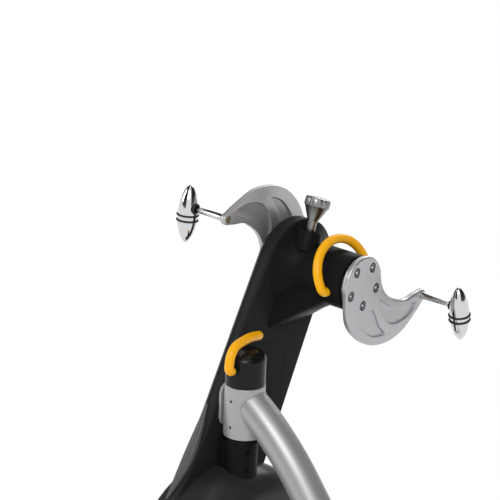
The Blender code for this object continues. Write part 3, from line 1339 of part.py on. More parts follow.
def handle(label, side, turn, tilt):
    """Bullet-shaped grip with two rubber rings and a grommet round its pin."""
    pin = pin_place(turn)
    centre = Vector((side * (crank_inner(side) + CRANK_THICK + HANDLE_OUT), HEAD_Y + pin.x,
                     HEAD_Z + pin.y))
    stand = Matrix.Translation(centre) @ Matrix.Rotation(tilt, 4, "X")
    half = (HANDLE_UP + HANDLE_DOWN) / 2.0
    middle = (HANDLE_UP - HANDLE_DOWN) / 2.0
    heights = [middle - half * math.cos(math.pi * i / HANDLE_STEPS)
               for i in range(HANDLE_STEPS + 1)]
    profile = [(handle_radius(height), height) for height in heights]
    body = add_object(label + "_handle", spun(profile, HANDLE_SIDES), CHROME, stand)
    inward = AXIS_X * -side
    seat = HANDLE_RADIUS - GROMMET_DEPTH
    open_end = HANDLE_RADIUS + OVERCUT
    cut(body, rod("bore", PIN_END + RUN, -HANDLE_BORE, open_end, None, centre, inward,
                  PIN_STEPS))
    cut(body, rod("bore", GROMMET_RADIUS + SEAT, seat, open_end, None, centre, inward,
                  PIN_STEPS))
    for name, drop in zip(("upper", "lower"), RING_DROPS):
        wire = max(handle_radius(-drop + RING_WIRE), handle_radius(-drop - RING_WIRE))
        middle_radius = wire + RING_WIRE + SEAT
        loop = [(middle_radius + RING_SQUARE * math.cos(math.tau * (i + 0.5) / 4.0),
                 -drop + RING_SQUARE * math.sin(math.tau * (i + 0.5) / 4.0))
                for i in range(4)]
        add_object(label + "_handle_" + name + "_ring",
                   spun(loop, HANDLE_SIDES, closed=True), RUBBER, stand, 60.0)
    ring(label + "_grommet", PIN_THICK_END + RUN, GROMMET_RADIUS, seat + SEAT,
         HANDLE_RADIUS + GROMMET_RISE, RUBBER, centre, inward, PIN_STEPS)


# Resistance knob

def knob_frame():
    mouth = (ARM_NEAR_X + KNOB_OUT, HEAD_Y + KNOB_SIDE, HEAD_Z + KNOB_RISE)
    return (Matrix.Translation(mouth)
            @ Matrix.Rotation(-KNOB_LEAN, 4, "X"))


def resistance_knob():
    """Turned knob: stem, cone and fluted head."""
    rim = KNOB_STEM_LENGTH + KNOB_CONE
    top = rim + KNOB_HEAD_HEIGHT
    bottom = KNOB_BOTTOM - KNOB_SOCKET
    profile = [(0.0, bottom), (KNOB_STEM, bottom), (KNOB_STEM, KNOB_STEM_LENGTH),
               (KNOB_HEAD - KNOB_LIP, rim), (KNOB_HEAD, rim + KNOB_EDGE),
               (KNOB_HEAD, top - KNOB_SHOULDER), (KNOB_HEAD - KNOB_DRAW, top - KNOB_EDGE),
               (KNOB_HEAD * KNOB_TOP, top), (0.0, top)]
    knob = turned("resistance_knob", profile, CHROME, (0, 0, 0), AXIS_Z, KNOB_STEPS)
    knob.matrix_world = knob_frame()
    for i in range(KNOB_FLUTES):
        angle = math.tau * i / KNOB_FLUTES
        reach = KNOB_HEAD + KNOB_FLUTE_OUT
        groove = rod("flute", KNOB_FLUTE, rim - KNOB_FLUTE_START, top + OVERCUT, None,
                     (reach * math.cos(angle), reach * math.sin(angle), 0), AXIS_Z,
                     HEX_SIDES)
        groove.matrix_world = knob_frame() @ groove.matrix_world
        cut(knob, groove)


# Levers

def bail_axis():
    return Vector((0.0, math.cos(BAIL_SIDE), math.sin(BAIL_SIDE)))


def bail_centre():
    return Vector((BAIL_X, HEAD_Y, HEAD_Z))


def barrel_lever():
    """Yellow bail over the barrel, its ends bent in to pivots in the barrel."""
    up = AXIS_X.cross(bail_axis())
    lean = up * math.cos(BAIL_TILT) + AXIS_X * math.sin(BAIL_TILT)
    bend = LEVER_WIRE + LEVER_BEND
    corner = (BAIL_ARCH - bend, bend)
    leg = [(corner[0] - SEAT, 0.0)] + arc_points(corner, bend, -math.pi / 2.0, 0.0, 4)
    arch = arc_points((0.0, BAIL_LEG), BAIL_ARCH, 0.0, math.pi, 13)
    path = leg + arch + [(-a, b) for a, b in leg[::-1]]
    axis = bail_axis()
    points = [bail_centre() + axis * a + lean * b for a, b in path]
    lever = swept("barrel_lever", points, LEVER_WIRE, YELLOW, sides=LEVER_SIDES)
    for side in (-1.0, 1.0):
        join(lever, rod("pin", LEVER_PIN, BARREL_RADIUS - BAIL_SINK, leg[0][0] + LEVER_LAP,
                        None, bail_centre(), axis * side, PIN_STEPS))


def cap_lever():
    """Yellow J-shaped lever: a pin in the cap's side and an arm over its top."""
    out = side_vector(CAP_LEVER_SIDE)
    centre = Vector((0, 0, CAP_BOTTOM + CAP_LEVER_Z))
    bend = LEVER_WIRE + LEVER_BEND
    reach = CAP_RADIUS + CAP_LEVER_OUT
    path = arc_points((reach - bend, bend), bend, -math.pi / 2.0, 0.0, 4)
    route = [(reach, bend)]
    route += [(reach - inward, CAP_LEVER_RISE * share) for inward, share in CAP_LEVER_PATH]
    path += spline(route, 2)[1:]
    points = [centre + out * a + AXIS_Z * b for a, b in path]
    lever = swept("cap_lever", points, LEVER_WIRE, YELLOW, sides=LEVER_SIDES)
    ball = bmesh.new()
    bmesh.ops.create_uvsphere(ball, u_segments=LEVER_SIDES, v_segments=5,
                              radius=LEVER_WIRE * TIP_SHARE)
    join(lever, add_object("ball", ball, None, Matrix.Translation(points[-1])))
    join(lever, rod("pin", LEVER_PIN, CAP_RADIUS - CAP_LEVER_SINK, path[0][0] + LEVER_LAP,
                    None, centre, out, PIN_STEPS))


def build_base():
    base_beam()
    cross_foot("front_cross_foot", FRONT_FOOT_X)
    cross_foot("rear_cross_foot", REAR_FOOT_X)
    corners = [(x, side) for x in (FRONT_FOOT_X, REAR_FOOT_X) for side in (-1.0, 1.0)]
    names = ("front_left_pad", "front_right_pad", "rear_left_pad", "rear_right_pad")
    for name, (x, side) in zip(names, corners):
        levelling_pad(name, x, side)
    transport_wheels()
    gooseneck_tube()
    foot_flange()


def build_pivot():
    pivot_sleeve()
    sleeve_bushes()
    swivel_post()
    thrust_ring()
    lower_collar()
    cap_housing()
    lock_pad()
    upper_bracket()
    wear_plate()
    cap_lever()


def build_casing():
    arm_cover_right()
    arm_cover_left()
    edge_trim()
    drum_cover_right()
    drum_cover_left()
    arm_spine()
    brake_shoe()
    head_bridge()
    barrel_housing()
    head_bearings()
    hold_pad()
    barrel_lever()
    resistance_knob()


def build_drive():
    drive_pulley()
    flywheel()
    drive_belt()
    crank_shafts()
    for label, side, turn, tilt in (("right", 1.0, 0.0, HANDLE_TILT_RIGHT),
                                    ("left", -1.0, CRANK_PHASE, HANDLE_TILT_LEFT)):
        crank(label + "_crank", side, turn)
        crank_pin(label, side, turn)
        handle(label, side, turn, tilt)


clear_scene()
build_base()
build_pivot()
build_casing()
build_drive()
bpy.context.view_layer.update()
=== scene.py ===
"""Upper body ergometer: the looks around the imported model.

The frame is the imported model's: metres, +Z up, swivel axis on X = 0, Y = 0.
Round and lofted pieces are built again with fine steps, soft edges and the
small detail that the solids leave out; the rest keeps its solid.
"""
import math

import bmesh
import bpy
from mathutils import Matrix, Vector


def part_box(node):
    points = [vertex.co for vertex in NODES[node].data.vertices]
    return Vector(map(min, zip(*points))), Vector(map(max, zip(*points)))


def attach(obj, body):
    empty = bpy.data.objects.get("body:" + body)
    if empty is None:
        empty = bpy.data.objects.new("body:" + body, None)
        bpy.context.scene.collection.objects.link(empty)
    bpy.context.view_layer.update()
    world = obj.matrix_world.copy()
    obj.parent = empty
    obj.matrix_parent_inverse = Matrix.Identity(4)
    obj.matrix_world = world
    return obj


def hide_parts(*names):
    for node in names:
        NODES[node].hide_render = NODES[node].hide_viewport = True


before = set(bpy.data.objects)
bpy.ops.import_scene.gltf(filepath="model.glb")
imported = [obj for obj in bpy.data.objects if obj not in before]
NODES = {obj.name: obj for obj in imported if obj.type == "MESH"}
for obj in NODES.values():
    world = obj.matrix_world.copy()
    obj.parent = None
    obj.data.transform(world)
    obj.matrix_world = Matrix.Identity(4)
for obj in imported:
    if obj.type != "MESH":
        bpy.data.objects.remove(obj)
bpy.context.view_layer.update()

AXIS_X = Vector((1.0, 0.0, 0.0))
AXIS_Y = Vector((0.0, 1.0, 0.0))
AXIS_Z = Vector((0.0, 0.0, 1.0))
ORIGIN = (0, 0, 0)
QUARTER = math.pi / 2.0
NAMES = {1.0: "right", -1.0: "left"}

# Camera, worked out from the photograph's 500 x 500 frame
FRAME_PX = 500.0
FOCAL_PX = 2600.0
SENSOR = 36.0
CAMERA_AT = Vector((2.821708, -3.246226, 2.655372))
YAW = math.radians(41.0)
PITCH = math.radians(19.8)
ROLL = math.radians(2.1)

# Studio: a level of 1 is white, and the flags are dark cards with a gap between them
FLOOR_SIZE, FLOOR_COLOUR = 14.0, (0.90, 0.90, 0.90, 1.0)
FLOOR_GLOW, FLOOR_GLOW_SHARE = 1.02, 0.96
WORLD_LIGHT, WORLD_SEEN = 0.55, 1.02
WHITE = (1.0, 1.0, 1.0, 1.0)
FLAG_TURN = math.radians(41.0)
FLAG_HEIGHT, FLAG_REACH, FLAG_GAP, FLAG_SLANT = 3.6, 60.0, 0.55, 0.55
LAMP_AIM = Vector((0.0, 0.1, 0.9))
# Name, place, size and power
LAMPS = (("key", Vector((1.6, -2.6, 3.4)), 1.8, 60.0),
         ("left", Vector((-2.6, -1.8, 2.2)), 1.6, 30.0),
         ("rim", Vector((-0.8, 2.8, 2.6)), 1.6, 40.0))

# Angles in degrees above which an edge is shaded sharp
CREASE, PLATE_CREASE, POCKET_CREASE, KNOB_CREASE = 38.0, 30.0, 24.0, 40.0
SHELL_CREASE, ROD_CREASE = 50.0, 60.0

# Sizes repeated from the solids; SEAT is the gap left where two pieces meet
SEAT = 0.0003
HEAD_Y, HEAD_Z = 0.190, 1.020
HEAD_AT = (0, HEAD_Y, HEAD_Z)
DRUM_Y, DRUM_Z, DRUM_RADIUS = -0.010, 0.487, 0.200
DRUM_AT = (0, DRUM_Y, DRUM_Z)
DRUM_SPLIT_X, DRUM_NEAR_X = -0.022, 0.050
DRUM_SHOULDER, DRUM_DISH, DRUM_HUB = 0.062, 0.006, 0.060
DRUM_CORNER, DRUM_WALL, DRUM_GAP = 0.016, 0.003, 0.00015
DRUM_SCREWS, DRUM_SCREW_CIRCLE = 5, 0.17
ARM_NEAR_X, ARM_WIDTH, ARM_WALL = -0.042, 0.046, 0.003
ARM_SPLIT_X = ARM_NEAR_X - ARM_WIDTH / 2.0
ARM_FAR_X = ARM_NEAR_X - ARM_WIDTH
ARM_GAP, ARM_EDGE = 0.0002, 0.004
OUTLINE_Y, OUTLINE_Z = HEAD_Y - 0.0055, HEAD_Z - 0.002
HEAD_RADIUS = 0.0905
LEAN_LEFT, LEAN_RIGHT = math.radians(27.5), math.radians(24.9)
LEFT_RUN, RIGHT_RUN, FLARE = 0.290, 0.420, 0.100
FLARE_END = math.radians(127.0)
HEAD_STEPS, SIDE_STEPS, FLARE_STEPS = 64, 8, 24
FAR_INSET, FAR_HOLLOW = 0.0265, 0.0016
STRAP_HEAD, STRAP_FOOT, SLOT_HEAD = 0.0865, 0.036, 0.07325
NEAR_BORE, FAR_BORE = 0.0303, 0.049
CASING_HOLE = Vector((0.0, 0.0616, 0.9516))
HOLE_RADIUS, HOLE_DEPTH = 0.0050, 0.0022
ARCH = ((0.100, 0.878), (0.112, 0.8855), (0.128, 0.887), (0.143, 0.880), (0.154, 0.865),
        (0.158, 0.845), (0.155, 0.822), (0.147, 0.805))

# Stand: tube, sleeve, base and feet
TUBE_RADIUS = 0.0322
TUBE_TOP_Z, TUBE_SLOPE, TUBE_DROP = 0.8292, math.radians(32.65), math.radians(51.0)
TUBE_LEAD, TUBE_BEND, TUBE_STRAIGHT, FOOT_BEND = 0.014, 0.5643, 0.120, 0.500
FLANGE_LOW, FLANGE_TOP = (corner.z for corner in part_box("foot_flange"))
SLEEVE_RADIUS, SLEEVE_BORE = 0.037, 0.026
SLEEVE_BOTTOM, SLEEVE_TOP = 0.7556, 0.8541
SLEEVE_SCREWS, SCREW_RADIUS, SCREW_BORE = (0.0219, 0.0723), 0.0026, 0.0029
FRONT_FOOT_X, FOOT_WIDTH, FOOT_END = -0.440, 0.060, 0.28
FOOT_LOW, FOOT_TOP, FOOT_CAP = 0.041, 0.084, 0.006
BEAM_HALF, BEAM_LOW, BEAM_TOP = 0.038, 0.043, 0.0865
PADS = ("front_left_pad", "front_right_pad", "rear_left_pad", "rear_right_pad")
WHEEL_X, WHEEL_Y, WHEEL_Z = -0.486, 0.150, 0.046

# Swivel post, collar and cap
POST_RADIUS = 0.020
RING_BORE, RING_RADIUS, RING_GROOVE = 0.0203, 0.031, 0.0288
COLLAR_TOP = SLEEVE_BOTTOM - 0.0123
COLLAR_BOTTOM, COLLAR_RADIUS, COLLAR_SHIFT = COLLAR_TOP - 0.0755, 0.030, -0.004
COLLAR_SCREWS, COLLAR_SCREW_TURN = (0.0262, 0.0607), math.radians(-27.0)
CAP_BOTTOM = SLEEVE_TOP + 0.0006
CAP_RADIUS, CAP_HEIGHT, CAP_ROUND, CAP_DEPTH = 0.0367, 0.0635, 0.014, 0.0523

# Levers: the bail turns about BAIL_SIDE, the swivel lever about LEVER_OUT
WIRE = 0.0085
WIRE_BEND = WIRE + 0.001
LEVER_BORE, LEVER_PIN = 0.0068, 0.006
LEVER_AT = Vector((0, 0, CAP_BOTTOM + 0.0379))
LEVER_OUT = Vector((math.cos(math.radians(-80.0)), math.sin(math.radians(-80.0)), 0.0))
LEVER_REACH, LEVER_OVER = CAP_RADIUS + 0.0205, 0.0455
BAIL_AT = Vector((0.065, HEAD_Y, HEAD_Z))
BAIL_SIDE = Vector((0.0, math.cos(math.radians(10.0)), math.sin(math.radians(10.0))))
BAIL_REACH, BAIL_RISE, BAIL_TILT = 0.0625, 0.014, math.radians(-21.0)

# Barrel and its knob
BARREL_RADIUS, BARREL_ROOT, BARREL_END = 0.052, 0.086, 0.091
BARREL_BORE, BARREL_NECK, BARREL_BACK = 0.0263, 0.030, -0.0530
BARREL_FLARE, BARREL_EASE = 0.050, 2.2
FAIRING_LOW, FAIRING_LENGTH, FAIRING_EASE = 0.050, 0.090, 1.12
KNOB_AT, KNOB_LEAN = Vector((-0.018, 0.184, 1.094)), math.radians(20.0)
KNOB_UP = Vector((0.0, math.sin(KNOB_LEAN), math.cos(KNOB_LEAN)))
KNOB_RADIUS, KNOB_RIM, KNOB_TOP = 0.0235, 0.0460, 0.0625
KNOB_STEM, STEM_BORE, BOSS_BORE, BOSS_DEPTH = 0.0092, 0.010, 0.0205, 0.012
FLUTES, FLUTE_RADIUS = 14, 0.0032

# Cranks, by side: CRANK_SHAPE has the hub and the ball of the back, with their radii
CRANK_INNER = {1.0: 0.098, -1.0: 0.090}
CRANK_THICK = 0.012
CRANK_SHAPE = {1.0: ((-0.0005, 0.0048), 0.0500, (0.0690, -0.0055), 0.1245),
               -1.0: ((-0.007, 0.002), 0.0565, (0.062, -0.005), 0.1285)}
BACK_EDGE, FRONT_EDGE = {1.0: 0.0030, -1.0: 0.0025}, 0.0042
PHASE = {1.0: 0.0, -1.0: math.radians(163.2)}
POCKETS = (((0.026, -0.052), (0.049, -0.090), (0.068, -0.111), (0.031, -0.107),
            (-0.005, -0.081), (-0.017, -0.056)),
           ((0.047, -0.038), (0.085, -0.061), (0.156, -0.071), (0.137, -0.093),
            (0.089, -0.098), (0.054, -0.070)))
# Height over the face, and how far the pocket is drawn in there
POCKET_LEVELS = ((0.010, 0.0), (0.0, 0.0), (-0.0014, 0.0003), (-0.0036, 0.0009),
                 (-0.0045, 0.0020), (-0.0049, 0.0040))
BOLTS, BOLT_FIRST, BOLT_CIRCLE = 5, math.radians(-19.0), 0.0375
BOLT_HEAD, BOLT_SINK, BOLT_HOLE = 0.0068, 0.0065, 0.0046
# The second is the inner radius of the dark ring of painted shade in each bolt well
BOLT_WELL, BOLT_SHADE_RING = 0.0088, 0.0069
BOLT_RIM = BOLT_WELL + 0.0014

# Pins and handles
PIN_THROW, PIN_ANGLE = 0.185, math.radians(-19.8)
PIN_PLACE = (PIN_THROW * math.cos(PIN_ANGLE), PIN_THROW * math.sin(PIN_ANGLE))
PIN_HEAD, PIN_SHANK, PIN_FLANGE, PIN_TAPER, PIN_NECK = 0.0064, 0.005, 0.007, 0.0052, 0.004
PIN_BORE, PIN_HEAD_BORE = 0.0053, 0.0068
HANDLE_OUT, HANDLE_RADIUS, HANDLE_UP, HANDLE_DOWN = 0.0855, 0.0185, 0.041, 0.067
HANDLE_MIDDLE, HANDLE_HALF = (HANDLE_UP - HANDLE_DOWN) / 2.0, (HANDLE_UP + HANDLE_DOWN) / 2.0
TILT = {1.0: math.radians(8.7), -1.0: math.radians(-5.6)}
RINGS, RING_WIRE = (("upper", 0.0145), ("lower", 0.0245)), 0.0017
GROMMET_SEAT, GROMMET_BORE = HANDLE_RADIUS - 0.005, 0.0103


# Materials

MIX_A, MIX_B, MIX_RESULT = 6, 7, 2
SLOW_SCALE, SLOW_DETAIL, FINE_DETAIL = 14.0, 4.0, 3.0
BUMP_DEPTH = 0.0004


def tree_of(name):
    material = bpy.data.materials.new(name)
    material.use_nodes = True
    return material, material.node_tree, material.node_tree.nodes["Principled BSDF"]


def noise(tree, place, scale, detail):
    node = tree.nodes.new("ShaderNodeTexNoise")
    node.inputs["Scale"].default_value = scale
    node.inputs["Detail"].default_value = detail
    tree.links.new(place, node.inputs["Vector"])
    return node.outputs["Fac"]


def surface(name, colour, rough, metallic, mottle, grain, bump, spread=0.06, streak=None,
            shine=0.5):
    """Material with a fine bump, a slow change of colour and a patchy roughness."""
    material, tree, shader = tree_of(name)
    new, link = tree.nodes.new, tree.links.new
    place = new("ShaderNodeTexCoord").outputs["Object"]
    source = place
    if streak:
        squeeze = new("ShaderNodeMapping")
        squeeze.inputs["Scale"].default_value = streak
        link(place, squeeze.inputs["Vector"])
        source = squeeze.outputs["Vector"]
    slow = noise(tree, place, SLOW_SCALE, SLOW_DETAIL)
    fine = noise(tree, source, grain, FINE_DETAIL)
    blend = new("ShaderNodeMix")
    blend.data_type = "RGBA"
    for socket, share in ((MIX_A, 1.0 - mottle), (MIX_B, 1.0 + mottle)):
        blend.inputs[socket].default_value = (*(min(1.0, c * share) for c in colour), 1.0)
    link(slow, blend.inputs["Factor"])
    link(blend.outputs[MIX_RESULT], shader.inputs["Base Color"])
    span = new("ShaderNodeMapRange")
    span.inputs["To Min"].default_value = max(0.02, rough - spread)
    span.inputs["To Max"].default_value = min(1.0, rough + spread)
    link(slow, span.inputs["Value"])
    link(span.outputs["Result"], shader.inputs["Roughness"])
    relief = new("ShaderNodeBump")
    relief.inputs["Strength"].default_value = bump
    relief.inputs["Distance"].default_value = BUMP_DEPTH
    link(fine, relief.inputs["Height"])
    link(relief.outputs["Normal"], shader.inputs["Normal"])
    shader.inputs["Metallic"].default_value = metallic
    shader.inputs["Specular IOR Level"].default_value = shine
    material.diffuse_color = (*colour, 1.0)
    return material


# Name, colour, roughness, metallic, mottle, grain, bump and the roughness's spread
SILVER = surface("silver_paint", (0.40, 0.40, 0.402), 0.38, 0.47, 0.03, 1400.0, 0.02, 0.04)
CRANK = surface("crank_aluminium", (0.49, 0.495, 0.51), 0.36, 0.62, 0.03, 2200.0, 0.05, 0.05)
CHROME = surface("chrome", (0.66, 0.66, 0.67), 0.10, 1.0, 0.02, 400.0, 0.001, 0.02)
PIN = surface("pin_chrome", (0.60, 0.60, 0.61), 0.22, 1.0, 0.02, 400.0, 0.001, 0.03)
KNOB = surface("knob_satin_chrome", (0.26, 0.262, 0.265), 0.30, 1.0, 0.03, 900.0, 0.004, 0.03)
STEEL = surface("turned_steel", (0.50, 0.50, 0.52), 0.32, 1.0, 0.05, 700.0, 0.05, 0.08,
                streak=(6.0, 0.4, 0.4))
DARK_STEEL = surface("dark_steel", (0.07, 0.07, 0.075), 0.45, 0.6, 0.1, 500.0, 0.08)
GLOSS = surface("casing_gloss_black", (0.020, 0.020, 0.0205), 0.30, 0.0, 0.08, 1600.0, 0.04,
                0.05, shine=0.03)
DRUM = surface("drum_gloss_black", (0.026, 0.026, 0.0265), 0.30, 0.0, 0.08, 1600.0, 0.04,
               0.05, shine=0.22)
SATIN = surface("barrel_satin_black", (0.010, 0.010, 0.0105), 0.40, 0.0, 0.10, 1800.0, 0.06,
                0.06, shine=0.04)
CAP = surface("cap_gloss_black", (0.008, 0.008, 0.0085), 0.20, 0.0, 0.06, 1500.0, 0.02, 0.04,
              shine=0.18)
YELLOW = surface("lever_yellow", (0.98, 0.45, 0.004), 0.32, 0.0, 0.02, 1300.0, 0.03, 0.04,
                 shine=0.28)
RUBBER = surface("rubber", (0.012, 0.012, 0.013), 0.70, 0.0, 0.15, 900.0, 0.25, 0.08)
TRIM = surface("edge_trim_grey", (0.075, 0.075, 0.08), 0.42, 0.0, 0.05, 1500.0, 0.06)
# Near-black for the seam lines, and painted shade in the casing hole and in the bolt wells
SEAM_AND_PAINTED_SHADE = surface("seam_shadow", (0.006, 0.006, 0.006), 0.80, 0.0, 0.1, 500.0, 0.02)
BRONZE = surface("bush_bronze", (0.45, 0.28, 0.12), 0.38, 0.9, 0.08, 600.0, 0.05)
IRON = surface("cast_iron", (0.18, 0.18, 0.19), 0.48, 0.8, 0.10, 400.0, 0.12)
LINING = surface("friction_lining", (0.20, 0.12, 0.07), 0.80, 0.0, 0.25, 500.0, 0.30)
BROWN = surface("brown_screw", (0.26, 0.20, 0.12), 0.40, 0.6, 0.08, 600.0, 0.05)
CARD = surface("dark_flag", (0.015, 0.015, 0.015), 0.9, 0.0, 0.1, 60.0, 0.02)
SOCKET = surface("socket_dark", (0.03, 0.03, 0.032), 0.40, 0.7, 0.08, 600.0, 0.05)


# Mesh helpers

def placed(name, data):
    obj = bpy.data.objects.new(name, data)
    bpy.context.scene.collection.objects.link(obj)
    return obj


def evaluated(obj):
    """New mesh of the object as its modifiers or its curve make it."""
    bpy.context.view_layer.update()
    graph = bpy.context.evaluated_depsgraph_get()
    return bpy.data.meshes.new_from_object(obj.evaluated_get(graph), depsgraph=graph)


def finish(obj, material, angle=CREASE):
    obj.data.materials.clear()
    obj.data.materials.append(material)
    obj.data.shade_smooth()
    obj.data.set_sharp_from_angle(angle=math.radians(angle))
    return obj


def add(name, bm, material, matrix=None, angle=CREASE):
    bmesh.ops.remove_doubles(bm, verts=bm.verts, dist=1e-6)
    bmesh.ops.recalc_face_normals(bm, faces=bm.faces)
    mesh = bpy.data.meshes.new(name)
    bm.to_mesh(mesh)
    bm.free()
    obj = placed(name, mesh)
    if matrix is not None:
        mesh.transform(matrix)
    return finish(obj, material, angle)


def frame_of(origin, axis):
    """Place with its Z along the axis."""
    turn = Vector(axis).normalized().to_track_quat("Z", "Y").to_matrix().to_4x4()
    return Matrix.Translation(Vector(origin)) @ turn


def cut(target, tool, operation="DIFFERENCE", angle=CREASE):
    modifier = target.modifiers.new("cut", "BOOLEAN")
    modifier.operation = operation
    modifier.solver = "EXACT"
    modifier.object = tool
    mesh = evaluated(target)
    target.modifiers.clear()
    target.data = mesh
    bpy.data.objects.remove(tool)
    mesh.set_sharp_from_angle(angle=math.radians(angle))
    return target


def spun(profile, steps, closed=False):
    bm = bmesh.new()
    verts = [bm.verts.new((r, 0.0, h)) for r, h in profile]
    edges = [bm.edges.new(pair) for pair in zip(verts, verts[1:])]
    if closed:
        edges.append(bm.edges.new((verts[-1], verts[0])))
    bmesh.ops.spin(bm, geom=verts + edges, cent=(0, 0, 0), axis=(0, 0, 1), angle=math.tau,
                   steps=steps, use_duplicate=False)
    return bm


def arc(centre, radius, start, end, count):
    return [(centre[0] + radius * math.cos(start + (end - start) * i / (count - 1)),
             centre[1] + radius * math.sin(start + (end - start) * i / (count - 1)))
            for i in range(count)]


def eased(profile, radius, closed=False, parts=4):
    """Profile with its sharp corners rounded by a small radius."""
    blunt, share, least = math.radians(150.0), 0.45, 1e-5
    points = [Vector(p) for p in profile]
    count = len(points)
    result = []
    for i, here in enumerate(points):
        if not closed and i in (0, count - 1):
            result.append(tuple(here))
            continue
        before, after = points[i - 1], points[(i + 1) % count]
        back, ahead = before - here, after - here
        turn = back.angle(ahead) if back.length > 1e-9 and ahead.length > 1e-9 else math.pi
        reach = min(radius, back.length * share, ahead.length * share)
        if turn > blunt or reach < least:
            result.append(tuple(here))
            continue
        a, b = here + back.normalized() * reach, here + ahead.normalized() * reach
        for k in range(parts + 1):
            t = k / parts
            result.append(tuple(a * (1 - t) ** 2 + here * 2 * t * (1 - t) + b * t * t))
    return result


def turned(name, profile, material, origin, axis, steps=72, ease=0.0, closed=False,
           angle=CREASE):
    if ease > 0.0:
        profile = eased(profile, ease, closed)
    return add(name, spun(profile, steps, closed), material, frame_of(origin, axis), angle)


def rod(name, radius, start, end, material, origin, axis, steps=48, ease=0.0):
    return turned(name, [(0.0, start), (radius, start), (radius, end), (0.0, end)], material,
                  origin, axis, steps, ease)


def tool(radius, start, end, origin, axis, steps=48):
    return rod("tool", radius, start, end, SEAM_AND_PAINTED_SHADE, origin, axis, steps)


def loft(name, rings, material, matrix=None, angle=CREASE):
    bm = bmesh.new()
    loops = [[bm.verts.new(p) for p in points] for points in rings]
    for low, high in zip(loops, loops[1:]):
        for i in range(len(low)):
            j = (i + 1) % len(low)
            bm.faces.new((low[i], low[j], high[j], high[i]))
    bm.faces.new(loops[0][::-1])
    bm.faces.new(loops[-1])
    return add(name, bm, material, matrix, angle)


def block(name, low, high, material, bevel=0.001, segments=3):
    low, high = Vector(low), Vector(high)
    bm = bmesh.new()
    bmesh.ops.create_cube(bm, size=1.0)
    bmesh.ops.scale(bm, vec=high - low, verts=bm.verts)
    bmesh.ops.bevel(bm, geom=bm.edges[:], offset=bevel, segments=segments, affect="EDGES",
                    profile=0.5)
    return add(name, bm, material, Matrix.Translation((low + high) / 2.0))


def tube(name, points, radius, material, sides=24, closed=False, angle=ROD_CREASE):
    """Round rod along points, as a mesh made from a curve."""
    curve = bpy.data.curves.new(name, "CURVE")
    curve.dimensions = "3D"
    curve.bevel_depth = radius
    curve.bevel_resolution = max(1, (sides - 4) // 2)
    curve.use_fill_caps = True
    line = curve.splines.new("POLY")
    line.points.add(len(points) - 1)
    line.use_cyclic_u = closed
    for slot, point in zip(line.points, points):
        slot.co = (*point, 1.0)
    guide = placed(name + "_path", curve)
    mesh = evaluated(guide)
    bpy.data.objects.remove(guide)
    bm = bmesh.new()
    bm.from_mesh(mesh)
    bpy.data.meshes.remove(mesh)
    return add(name, bm, material, None, angle)


def spline(points, per_leg, closed=False):
    count = len(points)
    legs = count if closed else count - 1
    result = []
    for leg in range(legs):
        b, c = Vector(points[leg]), Vector(points[(leg + 1) % count])
        a = Vector(points[leg - 1]) if closed or leg > 0 else b - (c - b)
        last = (leg + 2) % count if closed else leg + 2
        d = Vector(points[last]) if last < count else c + (c - b)
        for i in range(per_leg):
            t = i / per_leg
            result.append(tuple(0.5 * (2.0 * b + (c - a) * t
                                       + (2.0 * a - 5.0 * b + 4.0 * c - d) * t * t
                                       + (3.0 * b - a - 3.0 * c + d) * t ** 3)))
    if not closed:
        result.append(tuple(points[-1]))
    return result


def inset(points, distance):
    """Outline moved to its left by a distance, as it runs."""
    result = []
    count = len(points)
    for i, point in enumerate(points):
        here = Vector(point)
        first = (here - Vector(points[i - 1])).normalized()
        second = (Vector(points[(i + 1) % count]) - here).normalized()
        normal = Vector((-first.y - second.y, first.x + second.x)).normalized()
        lean = max(0.5, normal.dot(Vector((-first.y, first.x))))
        result.append(tuple(here + normal * distance / lean))
    return result


def put(piece, body, *nodes):
    """Rides on a body and stands for the CAD nodes, if any."""
    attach(piece, body)
    if nodes:
        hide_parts(*nodes)
    return piece


def paint(material, *names):
    """Gives CAD nodes that stay a better material."""
    for name in names:
        slots = NODES[name].data.materials
        slots.clear()
        slots.append(material)


# Stand

def tube_line():
    """Middle line of the neck in X and Z: two bends with a straight run between them."""
    points = [(0.0, TUBE_TOP_Z)]

    def onward(length, slope):
        x, z = points[-1]
        points.append((x + length * math.cos(slope), z - length * math.sin(slope)))

    slope = TUBE_SLOPE
    onward(TUBE_LEAD, slope)
    for radius, final, parts, run in ((TUBE_BEND, TUBE_DROP, 20, TUBE_STRAIGHT / 4),
                                      (FOOT_BEND, QUARTER, 24, None)):
        turn = (final - slope) / parts
        for _ in range(parts):
            onward(2.0 * radius * math.sin(turn / 2.0), slope + turn / 2.0)
            slope += turn
        if run:
            for _ in range(4):
                onward(run, slope)
    return points


def stand():
    line = tube_line()
    foot_x = line[-1][0]
    path = [(x, 0.0, z) for x, z in line + [(foot_x, FLANGE_TOP - 0.006)]]
    pipe = tube("tube_smooth", path, TUBE_RADIUS, SILVER, 56)
    cut(pipe, tool(SLEEVE_RADIUS + SEAT, 0.6, 1.0, ORIGIN, AXIS_Z, 72))
    put(pipe, "frame", "gooseneck_tube")
    put(saddle_weld(), "frame")
    put(flange_weld(foot_x), "frame")
    sleeve()


def saddle_weld():
    """Fine bead where the tube meets the sleeve."""
    along = Vector((math.cos(TUBE_SLOPE), 0.0, -math.sin(TUBE_SLOPE)))
    up = Vector((math.sin(TUBE_SLOPE), 0.0, math.cos(TUBE_SLOPE)))
    middle = Vector((0.0, 0.0, TUBE_TOP_Z))
    radius, count = TUBE_RADIUS + 0.0004, 120
    points = []
    for i in range(count):
        turn = math.tau * i / count
        side, rise = radius * math.cos(turn), radius * math.sin(turn)
        reach = SLEEVE_RADIUS + 0.0006 + 0.0002 * math.sin(i * 2.4)
        x = math.sqrt(reach ** 2 - side ** 2)
        base = middle + up * rise
        spot = base + along * ((x - base.x) / along.x)
        points.append((spot.x, side, spot.z))
    return tube("saddle_weld", points, 0.0011, SILVER, 8, closed=True)


